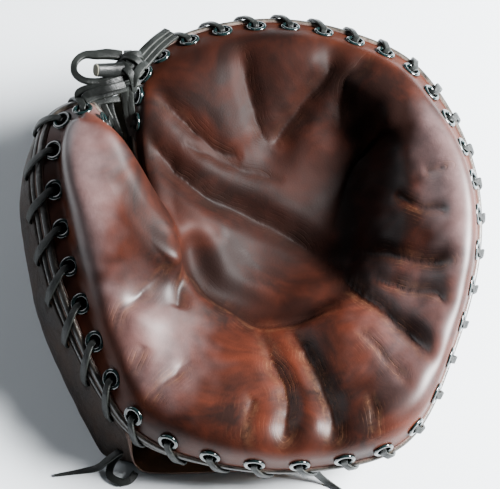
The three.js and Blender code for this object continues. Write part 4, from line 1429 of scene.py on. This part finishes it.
def lace_piece(name, strands, nodes, width=lace_width, thickness=lace_thickness):
    piece = strip_piece(name, strands, width, thickness, lace_rounding, lace_skin)
    wear_from_side(piece, "across", 0.8, 1.4)
    settle(piece, "lace_leather", *nodes)


print("a strand has", len(strand([(0, 0, 0), (10, 0, 0)], (0, 0, 1))[0]), "points in one stretch")

# %% [markdown]
# Two straps of doubled lace hold the top of the web: one from the thumb, one from the body. The strands lie
# side by side and not quite parallel, so each one has its own route. One wide strip would look like a belt.

# %% Straps of the web
thumb_routes = [
    [(-94.0, 57.3, 92), (-96.6, 63.0, 97), (-90.2, 66.0, 99.6), (-81.6, 68.8, 100.6), (-73.8, 73.2, 99)],
    [(-98.5, 60.3, 90.5), (-100.6, 66.0, 97), (-91.2, 69.2, 100.2), (-82.5, 72.2, 101.4), (-74.6, 76.8, 100)],
]
body_routes = [
    [(-66.8, 89.0, 98), (-60.8, 99.4, 97.5), (-54.9, 109.4, 95.2), (-48.4, 119.8, 91)],
    [(-69.4, 90.6, 99), (-63.4, 101.0, 98.4), (-57.4, 111.0, 95.8), (-50.6, 121.4, 91.4)],
    [(-63.8, 87.4, 98), (-57.8, 97.6, 97.4), (-51.8, 107.6, 95), (-45.6, 117.6, 90.6)],
]
lace_piece("thumb_strap", [strand(route, (1, 0, 0)) for route in thumb_routes], ["thumb_tie"],
           width=4.4, thickness=2.0)
lace_piece("body_strap", [strand(route, (1, -0.5, 0.1)) for route in body_routes], ["body_tie"],
           width=4.6, thickness=2.0)

# %% [markdown]
# The loop at the knot, and a stub of rolled hide that stands up in it. The stub is cut straight, and its end
# shows the flesh side, so a short plug of suede is set a little out of it. A second material on the sweep's
# cap would do it too, but the plug keeps one finish to one piece.

# %% Loop and stub
ring_route = [(-76.2, 93.7, 101), (-84.4, 93.0, 103), (-90.7, 91.4, 104), (-98.4, 90.7, 104),
              (-103.1, 84.8, 104), (-102.9, 76.7, 104), (-98.0, 72.0, 103), (-91.0, 71.7, 102),
              (-82.4, 74.6, 101), (-75.2, 79.7, 99)]
ring_widths = [1.5, 1.6, 1.4, 1.1, 1.0, 1.0, 1.0, 1.0, 1.05, 1.1]
lace_piece("tie_ring", [strand(ring_route, (0.2, 1, 0), ring_widths)], ["tie_loop"], width=4.0, thickness=2.4)
stub_flat = (0.1, 0.6, 0.8)
stub_route = [(-89.6, 76.0, 108.5), (-83.2, 79.2, 104.6), (-75.0, 82.2, 102)]
stub_end_route = [(-90.1, 75.7, 108.8), (-89.4, 76.1, 108.4)]
stub = strip_piece("rolled_stub", [strand(stub_route, stub_flat, [0.9, 1, 1.05])],
                   width=8.6, thickness=7.0, rounding=3.2, finish=lace_skin)
wear_from_side(stub, "across", 2, 3)
settle(stub, "lace_leather")
stub_end = strip_piece("stub_cut_end", [strand(stub_end_route, stub_flat, pieces=2)],
                       width=7.2, thickness=5.6, rounding=2.6, finish=web_skin)
settle(stub_end, "web_suede")

# %% [markdown]
# The knot: four turns of lace round one middle, each tilted its own way, and two strands that come over them
# in a V and go down into the gap. A true knot could be tied along one path, but only its outside shows.

# %% Knot
wrap_steps = 40
knot_middle = np.array([-70.6, 89.0, 100.0])


def wrap_path(radius_long, radius_short, turn_degrees, tilt_degrees, offset):
    """One turn of lace round the knot."""
    angle = np.linspace(0, 2 * np.pi, wrap_steps, endpoint=False)
    ring_shape = np.column_stack([radius_long * np.cos(angle), 0 * angle, radius_short * np.sin(angle)])
    tilt, turn = math.radians(tilt_degrees), math.radians(turn_degrees)
    tilt_cos, tilt_sin, turn_cos, turn_sin = math.cos(tilt), math.sin(tilt), math.cos(turn), math.sin(turn)
    tilt_matrix = np.array([[1, 0, 0], [0, tilt_cos, -tilt_sin], [0, tilt_sin, tilt_cos]])
    turn_matrix = np.array([[turn_cos, -turn_sin, 0], [turn_sin, turn_cos, 0], [0, 0, 1]])
    matrix = turn_matrix @ tilt_matrix
    axis = matrix @ np.array([0, 1.0, 0])
    return ring_shape @ matrix.T + (knot_middle + offset), np.tile(axis, (wrap_steps, 1)), 1.0, True


lace_piece("tie_knot_wraps", [
    wrap_path(6.0, 4.8, 20, 10, (0, 3.5, 0.0)),
    wrap_path(6.6, 5.4, -25, -14, (0.5, -1.0, 0.2)),
    wrap_path(8.6, 4.2, 100, 8, (-1.0, 0, -0.4)),
    wrap_path(5.6, 4.2, 60, 24, (0.5, -4.5, -1.0)),
], ["tie_knot"], width=5.0, thickness=2.0)
left_route = [(-78.6, 88.6, 101), (-76.0, 85.4, 104), (-72.8, 81.1, 105), (-69.8, 77.5, 103.6),
              (-68.5, 74.4, 99), (-68.4, 71.7, 94)]
right_route = [(-62.4, 90.4, 99.6), (-63.2, 86.4, 103), (-65.2, 81.1, 104.2), (-67.4, 76.8, 102.6),
               (-68.6, 73.4, 98)]
lace_piece("knot_over_strand", [
    strand(left_route, (1, 1, 0), [0.8, 1.0, 1.1, 1.0, 0.9, 0.7]),
    strand(right_route, (1, -0.6, 0), [0.9, 1.1, 1.1, 0.9, 0.7]),
], [], width=4.6, thickness=1.8)

# %% [markdown]
# Under the knot more lace fills the gap: four strands run across it and four run down into the web. They are
# half in shadow, so short plain routes are enough.

# %% Laces in the gap
across_routes = [
    [(-81.9, 76.8, 95), (-76.5, 78.3, 96), (-71.9, 80.5, 96), (-67.3, 83.5, 95), (-64.6, 88.7, 94)],
    [(-79.7, 74.7, 92), (-74.4, 77.6, 92), (-69.7, 79.1, 92), (-66.4, 82.0, 90)],
    [(-95.7, 60.5, 96), (-90.6, 63.9, 96.6), (-84.8, 66.1, 97), (-79.1, 69.0, 97), (-72.7, 71.9, 97)],
    [(-93.0, 58.9, 93.5), (-89.0, 62.0, 94), (-83.8, 64.0, 94), (-77.1, 66.5, 93)],
]
down_routes = [
    [(-83.8, 70.3, 98), (-83.0, 66.6, 91), (-81.8, 61.5, 85), (-79.4, 57.0, 79), (-77.2, 53.9, 73)],
    [(-87.7, 66.7, 98), (-86.7, 63.8, 94), (-85.2, 60.8, 90), (-82.4, 57.1, 85)],
    [(-70.9, 73.9, 98), (-70.7, 68.1, 90), (-69.8, 62.1, 82), (-68.3, 56.1, 74), (-65.5, 50.0, 68)],
    [(-73.6, 72.5, 98), (-73.6, 67.3, 89), (-72.8, 61.4, 81), (-70.8, 55.3, 73)],
]
gap_laces = [strand(route, (0, 1, 0.3)) for route in across_routes]
gap_laces += [strand(route, (1, 0, 0)) for route in down_routes]
lace_piece("web_gap_laces", gap_laces, [], width=4.0, thickness=1.8)

# %% [markdown]
# At the heel the whip lace ends. One end crosses itself and curls into a hook on the floor, the other hangs
# from the last eyelet and tapers where it was cut. Their routes are in % of the half sizes, like the tables,
# so they would follow the mitt if it were made larger.

# %% Lace ends at the heel
heel_route = np.array([
    (-82, -95.3, 1.1), (-71, -93.5, 1.1), (-63.8, -92.4, 3), (-59.8, -90.6, 7.5), (-55, -87.3, 9),
    (-54, -86.6, 6.5), (-57.2, -89.9, 4.8), (-58.7, -93.5, 3.2), (-58, -96.4, 2.4), (-53.6, -98.6, 2.2),
    (-50, -97.5, 2.2), (-47.8, -94.2, 2.2)]) * half_sizes / 100
heel_widths = [0.35, 0.7, 1, 1, 1, 1, 1, 1, 1, 1, 1, 0.9]
tail_route = np.array([(26, -96.6, 17), (28, -97, 9), (32, -98.5, 2.4), (40, -103.5, 1.3)]) * half_sizes / 100
lace_piece("heel_lace_end", [strand(heel_route, (0, 1, 0), heel_widths)], ["heel_tie"])
lace_piece("heel_lace_tail", [strand(tail_route, (1, 0.2, 0), [1, 1, 0.9, 0.5])], ["heel_tail"])

# %% [markdown]
# The web is a strip of suede hung between the thumb and the body, a little slack. A wavy black lace runs down
# each side and holds it to the walls. Cloth physics could let it sag, but its sag is small and known: a
# parabola between two lines on the back's skin.

# %% Web
web_rows = 26
web_columns = 10
web_leather = 2.2
web_drop = 15
web_lace_room = 3.2
side_lace_waves = 1.35
thumb_stations = (21.7, 23.9)
body_stations = (19.1, 17.1)


def web_side(low, high):
    section = section_at(np.linspace(low, high, web_rows + 1))
    wall_points = wall_rows(section, rows=12, depth=0)
    down = unit(wall_points[2] - wall_points[0])
    return wall_points[0] + down * (web_drop - welt_width / 2)


thumb_side = web_side(*thumb_stations)
body_side = web_side(*body_stations)
web_across = unit(body_side - thumb_side)
side_room = 2 * clearance + web_lace_room
thumb_side = thumb_side + web_across * side_room
body_side = body_side - web_across * side_room
web_top = []
for q in np.linspace(0, 1, web_columns + 1):
    sag = up * web_leather * 4 * q * (1 - q)
    web_top.append(thumb_side + (body_side - thumb_side) * q - sag)
web_top = np.array(web_top)
web_under = web_top - up * web_leather
borders = [(grid[0], grid[-1], grid[:, 0], grid[:, -1]) for grid in (web_top, web_under)]
web_grids = [web_top, web_under] + [np.array(pair) for pair in zip(*borders)]
web = finish_mesh("web_strip", skin_mesh("web", [(grid, 0, {}) for grid in web_grids]), web_skin)
settle(web, "web_suede", "web")

side_laces = []
for side, toward in ((thumb_side, web_across), (body_side, -web_across)):
    steps = np.linspace(0, web_rows, 60)
    base = read_off(side, steps)
    way = read_off(toward, steps)
    wave_out = 1.6 + 1.4 * np.sin(steps * side_lace_waves)
    wave_up = 1.6 + 1.0 * np.cos(steps * side_lace_waves)
    points = base + way * wave_out[:, None] + up * wave_up[:, None]
    side_laces.append((points, carried(points, up), 1.0, False))
lace_piece("web_side_laces", side_laces, [], width=3.0, thickness=1.3)

# %% [markdown]
# The studio: a pale floor that runs far past the mitt, one strong window to the right and a dim wall far to
# the left, in an almost dark room. The window gives the highlights on the rolls and throws the shadow to the
# left, as in the photo. The wall only keeps the shaded sides from going black. A picture of a room could
# light it too, but two lamps are easier to move and to understand.

# %% Floor and lights
floor_material, r = new_material("floor_paper")
cloud = r.noise(r.place, 3.0, 2.0)
wire(r, Base_Color=r.mix(cloud, rgb(226, 234, 238), rgb(236, 241, 244)), Roughness=0.75)
floor_mesh = bpy.data.meshes.new("floor")
floor_half = 3.0
floor_corners = [(x * floor_half, y * floor_half, 0) for x, y in ((-1, -1), (1, -1), (1, 1), (-1, 1))]
floor_mesh.from_pydata(floor_corners, [], [(0, 1, 2, 3)])
floor_mesh.materials.append(floor_material)
floor = link("floor", floor_mesh)
floor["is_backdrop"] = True


def area_light(name, place, aim, width, height, power, tint):
    data = bpy.data.lights.new(name, "AREA")
    data.shape = "RECTANGLE"
    data.size = width
    data.size_y = height
    data.energy = power
    data.color = tint
    light = bpy.data.objects.new(name, data)
    bpy.context.collection.objects.link(light)
    light.location = place
    light.rotation_euler = (Vector(aim) - Vector(place)).to_track_quat("-Z", "Y").to_euler()
    print(name, "at", place, "with", power, "W")


area_light("window", place=(1.2, 0.02, 0.84), aim=(0, 0, 0.04), width=0.7, height=0.5, power=215,
           tint=(0.99, 0.99, 1.0))
area_light("far_wall", place=(-0.95, 0.6, 0.62), aim=(-0.08, 0, 0.08), width=0.8, height=0.6, power=6,
           tint=(0.93, 0.95, 1.0))
world = bpy.data.worlds.new("room")
world.use_nodes = True
room = world.node_tree.nodes["Background"].inputs
room["Color"].default_value = (0.86, 0.93, 1.0, 1)
room["Strength"].default_value = 0.05
bpy.context.scene.world = world

# %% [markdown]
# The frame's box and the box of everything made here are put side by side, and the second one is printed, so
# that anyone can see how far the fine pieces pass the solid ones.

# %% The two boxes
size = {"cad": cad_box, "visual": [list(corner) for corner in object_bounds()]}
print("visual box", size["visual"])
